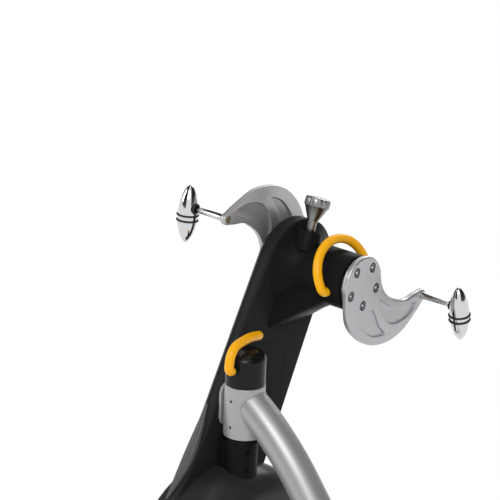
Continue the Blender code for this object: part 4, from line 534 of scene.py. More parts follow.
def flange_weld(foot_x):
    radius, height, count = TUBE_RADIUS + 0.001, FLANGE_LOW + 0.0105, 96
    points = [(foot_x + radius * math.cos(math.tau * i / count),
               radius * math.sin(math.tau * i / count),
               height + 0.0004 * math.sin(i * 2.1)) for i in range(count)]
    return tube("flange_weld", points, 0.0028, SILVER, 10, closed=True)


def sleeve():
    body = turned("sleeve_smooth", [(SLEEVE_BORE, SLEEVE_BOTTOM), (SLEEVE_RADIUS, SLEEVE_BOTTOM),
                                    (SLEEVE_RADIUS, SLEEVE_TOP), (SLEEVE_BORE, SLEEVE_TOP)],
                  SILVER, ORIGIN, AXIS_Z, 96, 0.0016, True)
    out = -AXIS_Y
    for height in SLEEVE_SCREWS:
        at = (0, 0, SLEEVE_BOTTOM + height)
        cut(body, tool(SCREW_BORE, SLEEVE_RADIUS - 0.004, SLEEVE_RADIUS + 0.01, at, out, 24))
        screw = rod("sleeve_screw", SCREW_RADIUS, SLEEVE_RADIUS - 0.0036,
                    SLEEVE_RADIUS - 0.0012, SOCKET, at, out, 24, 0.0004)
        cut(screw, tool(SCREW_RADIUS / 2.0, SLEEVE_RADIUS - 0.0025, SLEEVE_RADIUS, at, out, 6))
        put(screw, "frame")
    put(body, "frame", "pivot_sleeve")


PAD_PROFILE = [(0.0, 0.0), (0.022, 0.0), (0.022, 0.007), (0.013, 0.012), (0.009, 0.016),
               (0.0, 0.016)]
STUD_PROFILE = ([(0.0, 0.014)]
                + [(0.005 + (0.0007 if i % 2 else 0.0), 0.015 + i * 0.0007) for i in range(34)]
                + [(0.0, 0.0388)])
NUT_PROFILE = [(0.0055, 0.0336), (0.0085, 0.0336), (0.0085, 0.0396), (0.0055, 0.0396)]
TREAD_HALF = [(0.0052, -0.011), (0.012, -0.011), (0.014, -0.009), (0.026, -0.009),
              (0.028, -0.011), (0.0305, -0.0105), (0.032, -0.007)]
TREAD_PROFILE = TREAD_HALF + [(r, -h) for r, h in TREAD_HALF[::-1]]


def base():
    paint(SILVER, "base_beam", "front_cross_foot", "rear_cross_foot", "foot_flange")
    for foot, x in (("front_cross_foot", FRONT_FOOT_X),
                    ("rear_cross_foot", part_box("rear_cross_foot")[0].x)):
        for end in (-FOOT_END, FOOT_END):
            y0, y1 = sorted((end, end + math.copysign(FOOT_CAP, end)))
            put(block(foot + "_end_cap", (x + 0.001, y0, FOOT_LOW),
                      (x + FOOT_WIDTH - 0.001, y1, FOOT_TOP), RUBBER, 0.0028, 4), "frame")
    corners = ((-BEAM_HALF, BEAM_LOW), (-BEAM_HALF, BEAM_TOP), (BEAM_HALF, BEAM_TOP),
               (BEAM_HALF, BEAM_LOW))
    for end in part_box("base_beam"):
        points = [Vector((end.x, y, z)) for y, z in corners]
        line = [a.lerp(b, k / 12) for a, b in zip(points, points[1:]) for k in range(12)]
        put(tube("beam_weld", line + [points[-1]], 0.0026, SILVER, 8), "frame")
    for name in PADS:
        low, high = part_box(name)
        at = ((low.x + high.x) / 2.0, (low.y + high.y) / 2.0, 0.0)
        put(turned(name + "_foot", PAD_PROFILE, RUBBER, at, AXIS_Z, 48, 0.0015), "frame", name)
        put(turned(name + "_stud", STUD_PROFILE, STEEL, at, AXIS_Z, 20), "frame")
        put(turned(name + "_nut", NUT_PROFILE, STEEL, at, AXIS_Z, 6, 0.0006, True), "frame")
    for side in (-1.0, 1.0):
        body = "wheel_" + NAMES[side]
        put(turned(f"transport_{body}_tread", TREAD_PROFILE, RUBBER,
                   (WHEEL_X, WHEEL_Y * side, WHEEL_Z), AXIS_Y, 56, 0.0006, True),
            body, "transport_" + body)


# Post, collar and cap

def pivot():
    paint(STEEL, "swivel_post")
    paint(BRONZE, "lower_bush", "upper_bush")
    paint(LINING, "swivel_lock_pad")
    paint(SATIN, "upper_bracket")
    low, high = COLLAR_TOP + SEAT, SLEEVE_BOTTOM - 2.0 * SEAT
    middle = (low + high) / 2.0
    profile = [(RING_BORE, low), (RING_RADIUS, low), (RING_RADIUS, low + 0.002),
               (RING_GROOVE, middle - 0.001), (RING_GROOVE, middle + 0.001),
               (RING_RADIUS, high - 0.002), (RING_RADIUS, high), (RING_BORE, high)]
    put(turned("ring_smooth", profile, SATIN, ORIGIN, AXIS_Z, 96, 0.0006, True), "arm",
        "thrust_ring")
    collar()
    cap()
    wear_plate()


def collar():
    body = turned("collar_smooth", [(0.0, COLLAR_BOTTOM), (COLLAR_RADIUS, COLLAR_BOTTOM),
                                    (COLLAR_RADIUS, COLLAR_TOP), (0.0, COLLAR_TOP)], SATIN,
                  (COLLAR_SHIFT, 0, 0), AXIS_Z, 96, 0.0018)
    arm = block("tool", (ARM_NEAR_X + SEAT, -0.024, COLLAR_BOTTOM + 0.004),
                (0.0, 0.024, COLLAR_TOP - 0.004), SATIN, 0.003, 4)
    cut(body, arm, "UNION")
    cut(body, tool(POST_RADIUS + SEAT, COLLAR_BOTTOM - 0.1, COLLAR_TOP + 0.1, ORIGIN, AXIS_Z,
                   64))
    out = Vector((math.cos(COLLAR_SCREW_TURN), math.sin(COLLAR_SCREW_TURN), 0.0))
    for height in COLLAR_SCREWS:
        at = (COLLAR_SHIFT, 0, COLLAR_BOTTOM + height)
        cut(body, tool(0.005, COLLAR_RADIUS - 0.004, COLLAR_RADIUS + 0.01, at, out, 32))
    cut(body, turned("tool", [(0.0, -0.3)] + drum_profile(SEAT, -0.3, 14), SATIN, DRUM_AT,
                     AXIS_X, 128))
    put(body, "arm", "lower_collar")


def cap():
    """Domed housing on the post, with the swivel lever's bore and its washer."""
    dome = [(0.0, 0.0), (CAP_RADIUS - 0.001, 0.0), (CAP_RADIUS, 0.001)]
    dome += arc((CAP_RADIUS - CAP_ROUND, CAP_HEIGHT - CAP_ROUND - 0.003), CAP_ROUND, 0.0,
                math.radians(74.0), 16)
    dome += [(0.017, CAP_HEIGHT - 0.0018), (0.010, CAP_HEIGHT - 0.0007), (0.0, CAP_HEIGHT)]
    body = turned("cap_smooth", dome, CAP, (0, 0, CAP_BOTTOM), AXIS_Z, 96)
    cut(body, tool(POST_RADIUS + SEAT, -0.01, CAP_DEPTH, (0, 0, CAP_BOTTOM), AXIS_Z, 64))
    cut(body, tool(LEVER_BORE, CAP_RADIUS - 0.0125, CAP_RADIUS + 0.02, LEVER_AT, LEVER_OUT, 32))
    put(body, "arm", "cap_housing")
    inner, outer, low, high = 0.0064, 0.0098, CAP_RADIUS - 0.0008, CAP_RADIUS + 0.0012
    put(turned("cap_washer", [(inner, low), (outer, low), (outer, high), (inner, high)], CAP,
               LEVER_AT, LEVER_OUT, 48, 0.0004, True), "arm")


def wear_plate():
    low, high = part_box("arm_wear_plate")
    middle, half, rise = (low.z + high.z) / 2.0, 0.022, 0.021
    outline = arc((0.0, middle + rise), half, 0.0, math.pi, 24)
    outline += arc((0.0, middle - rise), half, math.pi, math.tau, 24)
    rings = [[(x, y, z) for y, z in inset(outline, d)]
             for x, d in ((low.x, 0.0), (high.x - 0.0012, 0.0), (high.x - 0.0004, 0.0004),
                          (high.x, 0.0012))]
    put(loft("wear_plate_smooth", rings, SILVER), "arm", "arm_wear_plate")


# Arm casing and drum

def arm_outline():
    """Casing's outline in Y and Z: head, left side, flare on to the drum, right side."""
    points = arc((OUTLINE_Y, OUTLINE_Z), HEAD_RADIUS, -LEAN_RIGHT, math.pi - LEAN_LEFT,
                 HEAD_STEPS)
    down = Vector((-math.sin(LEAN_LEFT), -math.cos(LEAN_LEFT)))
    start = Vector(points[-1])
    knee = start + down * LEFT_RUN
    points += [tuple(start + down * LEFT_RUN * k / SIDE_STEPS)
               for k in range(1, SIDE_STEPS + 1)]
    touch = Vector((DRUM_Y + DRUM_RADIUS * math.cos(FLARE_END),
                    DRUM_Z + DRUM_RADIUS * math.sin(FLARE_END)))
    control = knee + down * FLARE
    for i in range(1, FLARE_STEPS + 1):
        t = i / FLARE_STEPS
        points.append(tuple(knee * (1 - t) ** 2 + control * 2 * t * (1 - t) + touch * t * t))
    points.append((DRUM_Y - 0.080, DRUM_Z + 0.060))
    right = Vector((-math.sin(LEAN_RIGHT), -math.cos(LEAN_RIGHT)))
    first = Vector(points[0])
    points += [tuple(first + right * RIGHT_RUN * k / SIDE_STEPS)
               for k in range(SIDE_STEPS, 0, -1)]
    return points


def strap(head, places, shrink=(0.0, 0.0)):
    """Rings of the hollow that runs from the head to the middle of the drum."""
    head_at, foot_at = Vector((OUTLINE_Y, OUTLINE_Z)), Vector((DRUM_Y, DRUM_Z))
    along = head_at - foot_at
    heading = math.atan2(along.y, along.x)
    rings = []
    for x, less in zip(places, shrink):
        big, small = head - less, max(0.01, STRAP_FOOT - less)
        swing = math.acos((big - small) / along.length)
        outline = arc(tuple(head_at), big, heading - swing, heading + swing, 40)
        outline += arc(tuple(foot_at), small, heading + swing, heading - swing + math.tau, 20)
        rings.append([(x, y, z) for y, z in outline])
    return rings


def drum_arc(radius, count):
    centre = (DRUM_RADIUS - DRUM_SHOULDER, DRUM_NEAR_X - DRUM_SHOULDER)
    return arc(centre, radius, 0.0, QUARTER, count)


def drum_profile(extra, start, count):
    face = DRUM_NEAR_X - DRUM_DISH + extra
    return ([(DRUM_RADIUS + extra, start)] + drum_arc(DRUM_SHOULDER + extra, count)
            + [(DRUM_HUB, face), (0.0, face)])


def drum_tool():
    return tool(DRUM_RADIUS + SEAT, -0.2, 0.2, DRUM_AT, AXIS_X, 160)


def cover(name, outline, places, hollow):
    """Half of the casing, open to the drum and with its hollow."""
    shell = loft(name, [[(x, y, z) for y, z in inset(outline, d)] for x, d in places], GLOSS,
                 angle=SHELL_CREASE)
    cut(shell, drum_tool())
    cut(shell, loft("tool", hollow, GLOSS))
    return shell


def casing():
    outline = arm_outline()
    near = [(ARM_SPLIT_X + ARM_GAP, 0.0006), (ARM_SPLIT_X + 0.0008, 0.0)]
    near += [(ARM_NEAR_X - ARM_EDGE + ARM_EDGE * math.sin(a), ARM_EDGE * (1.0 - math.cos(a)))
             for a in [QUARTER * k / 6 for k in range(7)]]
    hollow = strap(STRAP_HEAD, (ARM_SPLIT_X - 0.01, ARM_NEAR_X - ARM_WALL))
    shell = cover("casing_near", outline, near, hollow)
    cut(shell, tool(NEAR_BORE, -0.1, 0.0, HEAD_AT, AXIS_X))
    cut(shell, tool(HOLE_RADIUS, ARM_NEAR_X - HOLE_DEPTH, 0.0, CASING_HOLE, AXIS_X, 24),
        angle=SHELL_CREASE)
    put(shell, "arm", "arm_cover_right")
    # Dark disc near the bottom of the hole: painted shade that makes the hole read deeper
    put(rod("casing_hole_shade_disc", HOLE_RADIUS - 0.0001, ARM_NEAR_X - 0.0021,
            ARM_NEAR_X - 0.0010, SEAM_AND_PAINTED_SHADE, CASING_HOLE, AXIS_X, 24), "arm")
    far = [(ARM_SPLIT_X - ARM_GAP, 0.0006), (ARM_SPLIT_X - 0.0008, 0.0002)]
    count = 10
    for k in range(count + 1):
        t = k / count
        x = ARM_SPLIT_X - 0.003 + (ARM_FAR_X + 0.002 - ARM_SPLIT_X + 0.003) * t
        far.append((x, 0.002 + (FAR_INSET - 0.005) * t - FAR_HOLLOW * math.sin(math.pi * t)))
    far += [(ARM_FAR_X + 0.0007, FAR_INSET - 0.0015), (ARM_FAR_X, FAR_INSET + 0.001)]
    hollow = strap(STRAP_HEAD, (ARM_SPLIT_X + 0.01, ARM_SPLIT_X - 0.006, ARM_FAR_X + ARM_WALL),
                   (0.0, 0.0045, FAR_INSET - 0.004))
    shell = cover("casing_far", outline, far, hollow)
    cut(shell, tool(FAR_BORE, -0.12, 0.0, HEAD_AT, AXIS_X), angle=SHELL_CREASE)
    put(shell, "arm", "arm_cover_left")
    trim(outline)
    arch = [(ARM_NEAR_X + 0.0001, y, z) for y, z in spline(ARCH, 8)]
    put(tube("arch_seam", arch, 0.0011, SEAM_AND_PAINTED_SHADE, 8), "arm")


def trim(outline):
    """Grey lip that swells along the flare, next to the split."""
    start = HEAD_STEPS + SIDE_STEPS - 1
    edge = ARM_SPLIT_X + SEAT
    rings = []
    for i in range(FLARE_STEPS + 1):
        swell = math.sin(math.pi * (i / FLARE_STEPS))
        thick = 0.0015 + 0.007 * swell
        near = edge + 0.004 + 0.015 * swell
        (y0, z0), (y1, z1) = (inset(outline, -SEAT - d)[start + i] for d in (0.0, thick))
        ring = [(edge, y0, z0), (near, y0, z0)]
        for k in range(1, 6):
            a = QUARTER * k / 6
            share = math.sin(a)
            ring.append((near - thick * 0.5 * (1.0 - math.cos(a)),
                         y0 + (y1 - y0) * share, z0 + (z1 - z0) * share))
        rings.append(ring + [(near - thick * 0.5, y1, z1), (edge, y1, z1)])
    strip = loft("trim_smooth", rings, TRIM, angle=ROD_CREASE)
    cut(strip, drum_tool(), angle=ROD_CREASE)
    put(strip, "arm", "arm_edge_trim")


def drum():
    start = DRUM_SPLIT_X + DRUM_GAP
    inner = [(DRUM_RADIUS - DRUM_WALL, start)]
    inner += drum_arc(DRUM_SHOULDER - 2.0 * DRUM_WALL, 12)
    inner += [(0.0, DRUM_NEAR_X - DRUM_DISH - DRUM_WALL)]
    dome = turned("drum_dome", inner[::-1] + drum_profile(0.0, start, 28), DRUM, DRUM_AT,
                  AXIS_X, 160, angle=SHELL_CREASE)
    put(dome, "arm", "drum_cover_right")
    split = DRUM_SPLIT_X - DRUM_GAP
    profile = [(0.0, ARM_FAR_X)]
    profile += arc((DRUM_RADIUS - DRUM_CORNER, ARM_FAR_X + DRUM_CORNER), DRUM_CORNER, -QUARTER,
                   0.0, 10)
    profile += [(DRUM_RADIUS, split), (DRUM_RADIUS - DRUM_WALL, split),
                (DRUM_RADIUS - DRUM_WALL, ARM_FAR_X + DRUM_CORNER),
                (DRUM_RADIUS - DRUM_CORNER, ARM_FAR_X + DRUM_WALL),
                (0.0, ARM_FAR_X + DRUM_WALL)]
    back = turned("drum_back", profile, DRUM, DRUM_AT, AXIS_X, 160, angle=SHELL_CREASE)
    slot = strap(SLOT_HEAD, (ARM_FAR_X + ARM_WALL, ARM_NEAR_X - ARM_WALL))
    cut(back, loft("tool", slot, DRUM), angle=SHELL_CREASE)
    put(back, "arm", "drum_cover_left")
    for i in range(DRUM_SCREWS):
        a = math.tau * (i + 0.25) / DRUM_SCREWS
        at = (ARM_FAR_X, DRUM_Y + DRUM_SCREW_CIRCLE * math.cos(a),
              DRUM_Z + DRUM_SCREW_CIRCLE * math.sin(a))
        screw = turned("drum_screw", [(0.0, -0.002), (0.0052, -0.002), (0.0052, 0.0006),
                                      (0.0040, 0.0022), (0.0, 0.0024)], SOCKET, at, -AXIS_X, 32,
                       0.0004)
        cut(screw, tool(0.0021, 0.001, 0.01, at, -AXIS_X, 6))
        put(screw, "arm")


def inside():
    paint(DARK_STEEL, "arm_spine", "head_bridge", "drive_pulley")
    paint(STEEL, "right_clutch", "left_clutch", "barrel_outer_bearing", "barrel_inner_bearing",
          "bridge_bearing", "flywheel_bearing", "flywheel_shaft", "flywheel_pulley",
          "centre_axle", "right_shaft", "left_shaft")
    paint(IRON, "flywheel")
    paint(LINING, "brake_shoe", "hold_brake_pad")
    paint(RUBBER, "drive_belt")


# Barrel and knob

# Turn in degrees about the barrel's axis, and reach, where the wedge starts
FAIRING = ((-158.0, 0.050), (-145.0, 0.080), (-137.0, 0.108), (-130.0, 0.130), (-118.0, 0.122),
           (-104.0, 0.1113), (-90.0, 0.108), (-78.0, 0.110), (-71.0, 0.113), (-62.0, 0.098),
           (-50.0, 0.070), (-38.0, 0.050), (0.0, 0.050), (42.0, 0.050), (84.0, 0.050),
           (126.0, 0.050), (166.0, 0.050))
FAIRING_CLOSE = [(183.0, 0.050), (194.0, 0.050)]
BOSS_PROFILE = [(0.0, -0.036), (KNOB_RADIUS, -0.036), (KNOB_RADIUS, -0.0015), (0.0230, -0.0004),
                (0.0220, 0.0), (BOSS_BORE, -0.0006), (BOSS_BORE, -BOSS_DEPTH),
                (0.0, -BOSS_DEPTH)]
KNOB_PROFILE = [(0.0, -0.028), (KNOB_STEM, -0.028), (KNOB_STEM, 0.0175), (0.0098, 0.0195),
                (0.0220, KNOB_RIM - 0.0006), (0.0232, KNOB_RIM + 0.0004),
                (KNOB_RADIUS, KNOB_RIM + 0.0014), (KNOB_RADIUS, KNOB_TOP - 0.004),
                (0.0229, KNOB_TOP - 0.0024), (0.0212, KNOB_TOP - 0.0010),
                (0.0150, KNOB_TOP - 0.0002), (0.0, KNOB_TOP)]


def fairing(root):
    """Wedge below the barrel that runs out on the casing."""
    rings, count = [], 12
    for k in range(count + 1):
        left = 1.0 - k / count
        x, ring = root + FAIRING_LENGTH * (1.0 - left), []
        for turn, reach in spline(FAIRING, 5) + FAIRING_CLOSE:
            reach = FAIRING_LOW + (reach - FAIRING_LOW) * left ** FAIRING_EASE
            ring.append((x, HEAD_Y + reach * math.cos(math.radians(turn)),
                         HEAD_Z + reach * math.sin(math.radians(turn))))
        rings.append(ring)
    wedge = loft("tool", rings, SATIN, angle=SHELL_CREASE)
    return cut(wedge, tool(0.042, -0.1, 0.1, HEAD_AT, AXIS_X, 96), angle=SHELL_CREASE)


def barrel():
    root = ARM_NEAR_X + SEAT
    profile = [(BARREL_BORE, BARREL_BACK), (BARREL_NECK, BARREL_BACK), (BARREL_NECK, root)]
    count = 24
    for i in range(count + 1):
        t = i / count
        profile.append((BARREL_RADIUS + (BARREL_ROOT - BARREL_RADIUS) * (1.0 - t) ** BARREL_EASE,
                        root + BARREL_FLARE * t))
    profile += [(BARREL_RADIUS, BARREL_END - 0.0015),
                (BARREL_RADIUS - 0.0006, BARREL_END - 0.0004),
                (BARREL_RADIUS - 0.0018, BARREL_END), (BARREL_BORE, BARREL_END)]
    body = turned("barrel_smooth", profile, SATIN, HEAD_AT, AXIS_X, 112, closed=True,
                  angle=SHELL_CREASE)
    cut(body, fairing(root), "UNION", SHELL_CREASE)
    cut(body, turned("tool", BOSS_PROFILE, SATIN, KNOB_AT, KNOB_UP, 64), "UNION", SHELL_CREASE)
    bores = [(STEM_BORE, -0.030, 0.02, KNOB_AT, KNOB_UP, 48),
             (BOSS_BORE, -BOSS_DEPTH, 0.02, KNOB_AT, KNOB_UP, 64)]
    bores += [(LEVER_BORE, 0.041, 0.072, BAIL_AT, BAIL_SIDE * sign, 32) for sign in (-1.0, 1.0)]
    bores.append((0.0079, 0.0, 0.046, (0.040, HEAD_Y, HEAD_Z), -AXIS_Z, 32))
    for bore in bores:
        cut(body, tool(*bore), angle=SHELL_CREASE)
    put(body, "arm", "barrel_housing")


def knob():
    body = turned("knob_smooth", KNOB_PROFILE, KNOB, KNOB_AT, KNOB_UP, 112, angle=KNOB_CREASE)
    place = frame_of(KNOB_AT, KNOB_UP)
    reach = KNOB_RADIUS + FLUTE_RADIUS * 0.62
    for i in range(FLUTES):
        a = math.tau * i / FLUTES
        at = place @ Vector((reach * math.cos(a), reach * math.sin(a), 0.0))
        cut(body, tool(FLUTE_RADIUS, KNOB_RIM - 0.006, KNOB_TOP + 0.01, at, KNOB_UP, 20),
            angle=KNOB_CREASE)
    put(body, "knob", "resistance_knob")


# Cranks, pins and handles

def crank_outline(hub_at, hub_radius, back_at, back_radius):
    """Crank's outline before its turn: hub, ball of the back, tip and hook."""
    hub = arc(hub_at, hub_radius, math.radians(14.0), math.radians(196.0), 60)
    back = []
    for i in range(6):
        a = math.radians(-163.0 + 130.0 * (i + 0.5) / 6.0)
        back.append((back_at[0] + back_radius * math.cos(a),
                     back_at[1] + back_radius * math.sin(a)))
    tip = arc(PIN_PLACE, 0.011, math.radians(-40.0), math.radians(110.0), 16)
    hook = [(0.152, -0.0545), (0.128, -0.0585), (0.104, -0.053), (0.080, -0.042),
            (0.062, -0.025), (0.0525, -0.007)]
    return (hub[:-1] + spline([hub[-1]] + back + [tip[0]], 8)[:-1] + tip[:-1]
            + spline([tip[-1]] + hook + [hub[0]], 8)[:-1])


def smaller(shape, distance):
    """Outline drawn in towards its middle by about a distance, whichever way it runs."""
    area = sum(a[0] * b[1] - b[0] * a[1] for a, b in zip(shape, shape[1:] + shape[:1]))
    return inset(shape, math.copysign(distance, area))


def crank(side):
    turn = Matrix.Rotation(PHASE[side], 2)
    near, label, out = CRANK_INNER[side], NAMES[side], AXIS_X * side
    far = near + CRANK_THICK
    outline = [tuple(turn @ Vector(p)) for p in crank_outline(*CRANK_SHAPE[side])]
    steps = [QUARTER * k / 5 for k in range(6)]
    back, front = BACK_EDGE[side], FRONT_EDGE
    places = [(near + back * (1.0 - math.cos(a)), back * (1.0 - math.sin(a))) for a in steps]
    places += [(far - front * (1.0 - math.sin(a)), front * (1.0 - math.cos(a))) for a in steps]
    move = Matrix.Translation(HEAD_AT)
    plate = loft(label + "_crank_smooth",
                 [[(side * x, y, z) for y, z in inset(outline, d)] for x, d in places],
                 CRANK, move, PLATE_CREASE)
    for points in POCKETS:
        shape = [tuple(turn @ Vector(p)) for p in spline(points, 7, closed=True)]
        for sign, face in ((1.0, far), (-1.0, near)):
            rings = [[(side * (face + sign * h), y, z) for y, z in smaller(shape, d)]
                     for h, d in POCKET_LEVELS]
            cut(plate, loft("tool", rings, CRANK, move), angle=POCKET_CREASE)
    for i in range(BOLTS):
        a = BOLT_FIRST + math.tau * i / BOLTS + PHASE[side]
        at = (0, HEAD_Y + BOLT_CIRCLE * math.cos(a), HEAD_Z + BOLT_CIRCLE * math.sin(a))
        bolt(plate, side, at, near, far, i)
    pin = turn @ Vector(PIN_PLACE)
    at = (0, HEAD_Y + pin.x, HEAD_Z + pin.y)
    cut(plate, tool(PIN_BORE, near - 0.01, far + 0.01, at, out), angle=POCKET_CREASE)
    cut(plate, tool(PIN_HEAD_BORE, near - 0.01, near + 0.003, at, out), angle=POCKET_CREASE)
    put(plate, "crank_" + label, label + "_crank")
    grip(side, at, near, far)


def bolt(plate, side, at, near, far, index):
    """Chamfered well in the plate, with a dark ring of painted shade and the socket bolt in it.
    """
    label, out = NAMES[side], AXIS_X * side
    floor = far - BOLT_SINK
    cut(plate, turned("tool", [(0.0, floor), (BOLT_WELL, floor), (BOLT_WELL, far - 0.0012),
                               (BOLT_RIM, far + 0.0002), (BOLT_RIM, far + 0.01),
                               (0.0, far + 0.01)], SOCKET, at, out, 40), angle=POCKET_CREASE)
    # The dark ring lines the well's wall and floor: painted shade in the recess
    wall = BOLT_WELL - 0.0001
    ring = [(BOLT_SHADE_RING, floor + SEAT), (wall, floor + SEAT), (wall, far - 0.0013),
            (BOLT_WELL - 0.0008, far - 0.0016), (BOLT_SHADE_RING, far - 0.0036)]
    put(turned(f"{label}_bolt_shade_ring_{index}", ring, SEAM_AND_PAINTED_SHADE, at, out, 40, closed=True),
        "crank_" + label)
    cut(plate, tool(BOLT_HOLE, near - 0.01, far, at, out, 32), angle=POCKET_CREASE)
    radius, height = BOLT_HEAD - 0.0004, BOLT_SINK - 0.0018
    spot = Vector(at) + out * (floor + SEAT)
    head = turned(f"{label}_crank_bolt_{index}",
                  [(0.0, 0.0), (radius, 0.0), (radius, height), (0.0, height)], STEEL, spot, out,
                  44, 0.0007)
    cut(head, tool(0.0037, height - 0.0032, height + 0.01, spot, out, 6))
    put(head, "crank_" + label)


def handle_radius(height):
    share = min(1.0, abs(height - HANDLE_MIDDLE) / HANDLE_HALF)
    return HANDLE_RADIUS * (1.0 - share ** 2.2) ** 0.65


def grip(side, at, near, far):
    """Handle pin with its screw, and the handle with its rings and grommet."""
    label, out = NAMES[side], AXIS_X * side
    body, x = "grip_" + label, far + HANDLE_OUT
    profile = [(0.0, near + 0.0006), (PIN_HEAD, near + 0.0006), (PIN_HEAD, near + 0.0027),
               (PIN_SHANK, near + 0.0027), (PIN_SHANK, far + SEAT), (PIN_FLANGE, far + SEAT),
               (PIN_FLANGE, far + 0.006), (PIN_TAPER, x - HANDLE_RADIUS - 0.006),
               (PIN_NECK, x - HANDLE_RADIUS - 0.004), (PIN_NECK, x + 0.010), (0.0, x + 0.010)]
    put(turned(label + "_pin_smooth", profile, PIN, at, out, 56, 0.0006), "crank_" + label,
        label + "_handle_pin")
    screw = rod(label + "_pin_screw", 0.0060, near + 0.0002, near + 0.0010, BROWN, at, out, 48,
                0.0003)
    cut(screw, tool(0.0026, near - 0.01, near + 0.0008, at, out, 6))
    put(screw, "crank_" + label)
    centre = Vector((side * x, at[1], at[2]))
    stand_at = Matrix.Translation(centre) @ Matrix.Rotation(TILT[side], 4, "X")
    count = 72
    heights = [HANDLE_MIDDLE - HANDLE_HALF * math.cos(math.pi * i / count)
               for i in range(count + 1)]
    handle = add(label + "_handle_smooth", spun([(handle_radius(h), h) for h in heights], 72),
                 CHROME, stand_at, ROD_CREASE)
    cut(handle, tool(0.0048, -0.012, 0.05, centre, -out, 32), angle=ROD_CREASE)
    cut(handle, tool(GROMMET_BORE, GROMMET_SEAT, 0.05, centre, -out, 48), angle=ROD_CREASE)
    put(handle, body, label + "_handle")
    for name, drop in RINGS:
        reach = max(handle_radius(-drop + 0.0013), handle_radius(-drop - 0.0013)) + 0.0008
        loop = [(reach + RING_WIRE * math.cos(math.tau * k / 14),
                 -drop + RING_WIRE * math.sin(math.tau * k / 14)) for k in range(14)]
        put(add(f"{label}_{name}_ring_smooth", spun(loop, 72, closed=True), RUBBER, stand_at,
                ROD_CREASE), body, f"{label}_handle_{name}_ring")
    profile = [(0.0058, GROMMET_SEAT + SEAT), (0.0100, GROMMET_SEAT + SEAT),
               (0.0100, HANDLE_RADIUS + 0.0005), (0.0088, HANDLE_RADIUS + 0.002),
               (0.0058, HANDLE_RADIUS + 0.002)]
    put(turned(label + "_grommet_smooth", profile, RUBBER, centre, -out, 56, 0.0006, True),
        body, label + "_grommet")


# Levers

def bail():
    """Yellow bow over the barrel, with a pin in each of its bosses."""
    lean = AXIS_X.cross(BAIL_SIDE) * math.cos(BAIL_TILT) + AXIS_X * math.sin(BAIL_TILT)
    leg = [(BAIL_REACH - WIRE_BEND - SEAT, 0.0)]
    leg += arc((BAIL_REACH - WIRE_BEND, WIRE_BEND), WIRE_BEND, -QUARTER, 0.0, 9)
    bow = arc((0.0, BAIL_RISE), BAIL_REACH, 0.0, math.pi, 56)
    path = leg + bow + [(-a, b) for a, b in leg[::-1]]
    put(tube("bail_smooth", [BAIL_AT + BAIL_SIDE * a + lean * b for a, b in path], WIRE, YELLOW,
             32), "hold_lever", "barrel_lever")
    for sign in (-1.0, 1.0):
        put(rod("bail_pin", LEVER_PIN, 0.042, 0.0545, STEEL, BAIL_AT, BAIL_SIDE * sign, 40,
                0.0004), "hold_lever")


def swivel_lever():
    """Yellow wire that comes out of the cap and lies over it, with a round end."""
    reach, over = LEVER_REACH, LEVER_OVER
    path = arc((reach - WIRE_BEND, WIRE_BEND), WIRE_BEND, -QUARTER, 0.0, 9)
    path += spline(((reach, WIRE_BEND), (reach - 0.004, over * 0.63),
                    (reach - 0.019, over * 0.94), (reach * 0.20, over),
                    (-reach * 0.25, over - 0.001), (reach - 0.0975, over * 0.87)), 10)[1:]
    points = [LEVER_AT + LEVER_OUT * a + AXIS_Z * b for a, b in path]
    wire = tube("swivel_lever_smooth", points, WIRE, YELLOW, 32)
    ball = bmesh.new()
    bmesh.ops.create_uvsphere(ball, u_segments=32, v_segments=20, radius=WIRE * 0.998)
    cut(wire, add("tool", ball, YELLOW, Matrix.Translation(points[-1])), "UNION", ROD_CREASE)
    put(wire, "swivel_lever", "cap_lever")
    put(rod("swivel_lever_pin", LEVER_PIN, CAP_RADIUS - 0.012, 0.0490, CAP, LEVER_AT,
            LEVER_OUT, 40, 0.0004), "swivel_lever")


# Stage, lights and camera

def stage():
    bm = bmesh.new()
    bmesh.ops.create_grid(bm, x_segments=1, y_segments=1, size=FLOOR_SIZE)
    add("floor", bm, floor_material())
    across = Vector((math.cos(FLAG_TURN), math.sin(FLAG_TURN), 0.0))
    for side in (-1.0, 1.0):
        flag("flag_" + NAMES[side], across, side)


def flag(name, across, side):
    """Dark studio flag above the object, open to the front, that only reflections see."""
    bm = bmesh.new()
    along = across.cross(AXIS_Z)
    corners = [across * (side * a) + along * b + AXIS_Z * FLAG_HEIGHT
               for a, b in ((FLAG_GAP, -FLAG_REACH), (FLAG_REACH, -FLAG_REACH),
                            (FLAG_REACH, FLAG_REACH), (FLAG_REACH * FLAG_SLANT, FLAG_REACH),
                            (FLAG_GAP, 0.0))]
    bm.faces.new([bm.verts.new(corner) for corner in corners])
    card = add(name, bm, CARD)
    card.visible_camera = False
    card.visible_diffuse = False
    card.visible_shadow = False
    card.visible_transmission = False


def unlit(tree):
    """Socket that is 1 for camera, glossy and transmission rays, which see the background."""
    seen = tree.nodes.new("ShaderNodeLightPath").outputs
    result = seen["Is Camera Ray"]
    for name in ("Is Glossy Ray", "Is Transmission Ray"):
        most = tree.nodes.new("ShaderNodeMath")
        most.operation = "MAXIMUM"
        tree.links.new(result, most.inputs[0])
        tree.links.new(seen[name], most.inputs[1])
        result = most.outputs[0]
    return result


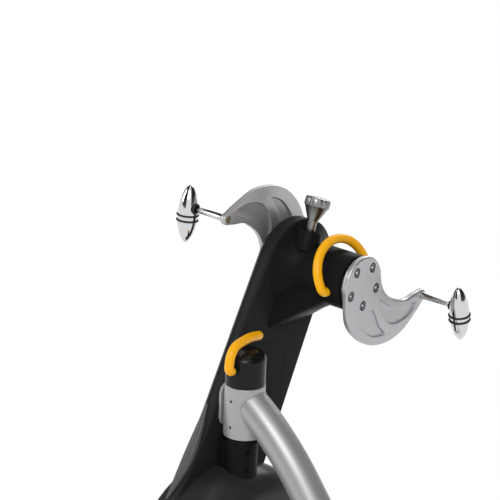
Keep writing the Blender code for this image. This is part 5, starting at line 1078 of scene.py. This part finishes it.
def floor_material():
    """Floor that looks nearly white and still takes the object's shadow."""
    material, tree, shader = tree_of("pale_floor")
    new, link = tree.nodes.new, tree.links.new
    shader.inputs["Base Color"].default_value = FLOOR_COLOUR
    shader.inputs["Roughness"].default_value = 0.9
    glow = new("ShaderNodeEmission")
    glow.inputs["Color"].default_value = WHITE
    glow.inputs["Strength"].default_value = FLOOR_GLOW
    share = new("ShaderNodeMath")
    share.operation = "MULTIPLY"
    share.inputs[1].default_value = FLOOR_GLOW_SHARE
    mix = new("ShaderNodeMixShader")
    link(unlit(tree), share.inputs[0])
    link(share.outputs[0], mix.inputs["Fac"])
    link(shader.outputs[0], mix.inputs[1])
    link(glow.outputs[0], mix.inputs[2])
    link(mix.outputs[0], tree.nodes["Material Output"].inputs["Surface"])
    return material


def lights():
    world = bpy.data.worlds.new("studio")
    bpy.context.scene.world = world
    world.use_nodes = True
    tree = world.node_tree
    back = tree.nodes["Background"]
    back.inputs["Color"].default_value = WHITE
    level = tree.nodes.new("ShaderNodeMapRange")
    level.inputs["To Min"].default_value = WORLD_LIGHT
    level.inputs["To Max"].default_value = WORLD_SEEN
    tree.links.new(unlit(tree), level.inputs["Value"])
    tree.links.new(level.outputs["Result"], back.inputs["Strength"])
    for name, at, size, power in LAMPS:
        lamp = bpy.data.lights.new(name, "AREA")
        lamp.size = size
        lamp.energy = power
        holder = placed(name, lamp)
        holder.location = at
        holder.rotation_euler = (LAMP_AIM - at).to_track_quat("-Z", "Y").to_euler()


def camera():
    forward = Vector((-math.sin(YAW) * math.cos(PITCH), math.cos(YAW) * math.cos(PITCH),
                      -math.sin(PITCH)))
    right = Vector((math.cos(YAW), math.sin(YAW), 0.0))
    up = right.cross(forward)
    across = right * math.cos(ROLL) + up * math.sin(ROLL)
    rise = up * math.cos(ROLL) - right * math.sin(ROLL)
    data = bpy.data.cameras.new("camera")
    data.sensor_width = SENSOR
    data.lens = SENSOR * FOCAL_PX / FRAME_PX
    holder = placed("camera", data)
    turn = Matrix((across, rise, -forward)).transposed().to_4x4()
    holder.matrix_world = Matrix.Translation(CAMERA_AT) @ turn
    bpy.context.scene.camera = holder


camera()
stage()
lights()
base()
stand()
pivot()
casing()
drum()
inside()
barrel()
for side in NAMES:
    crank(side)
knob()
bail()
swivel_lever()
bpy.context.scene.view_settings.view_transform = "Standard"
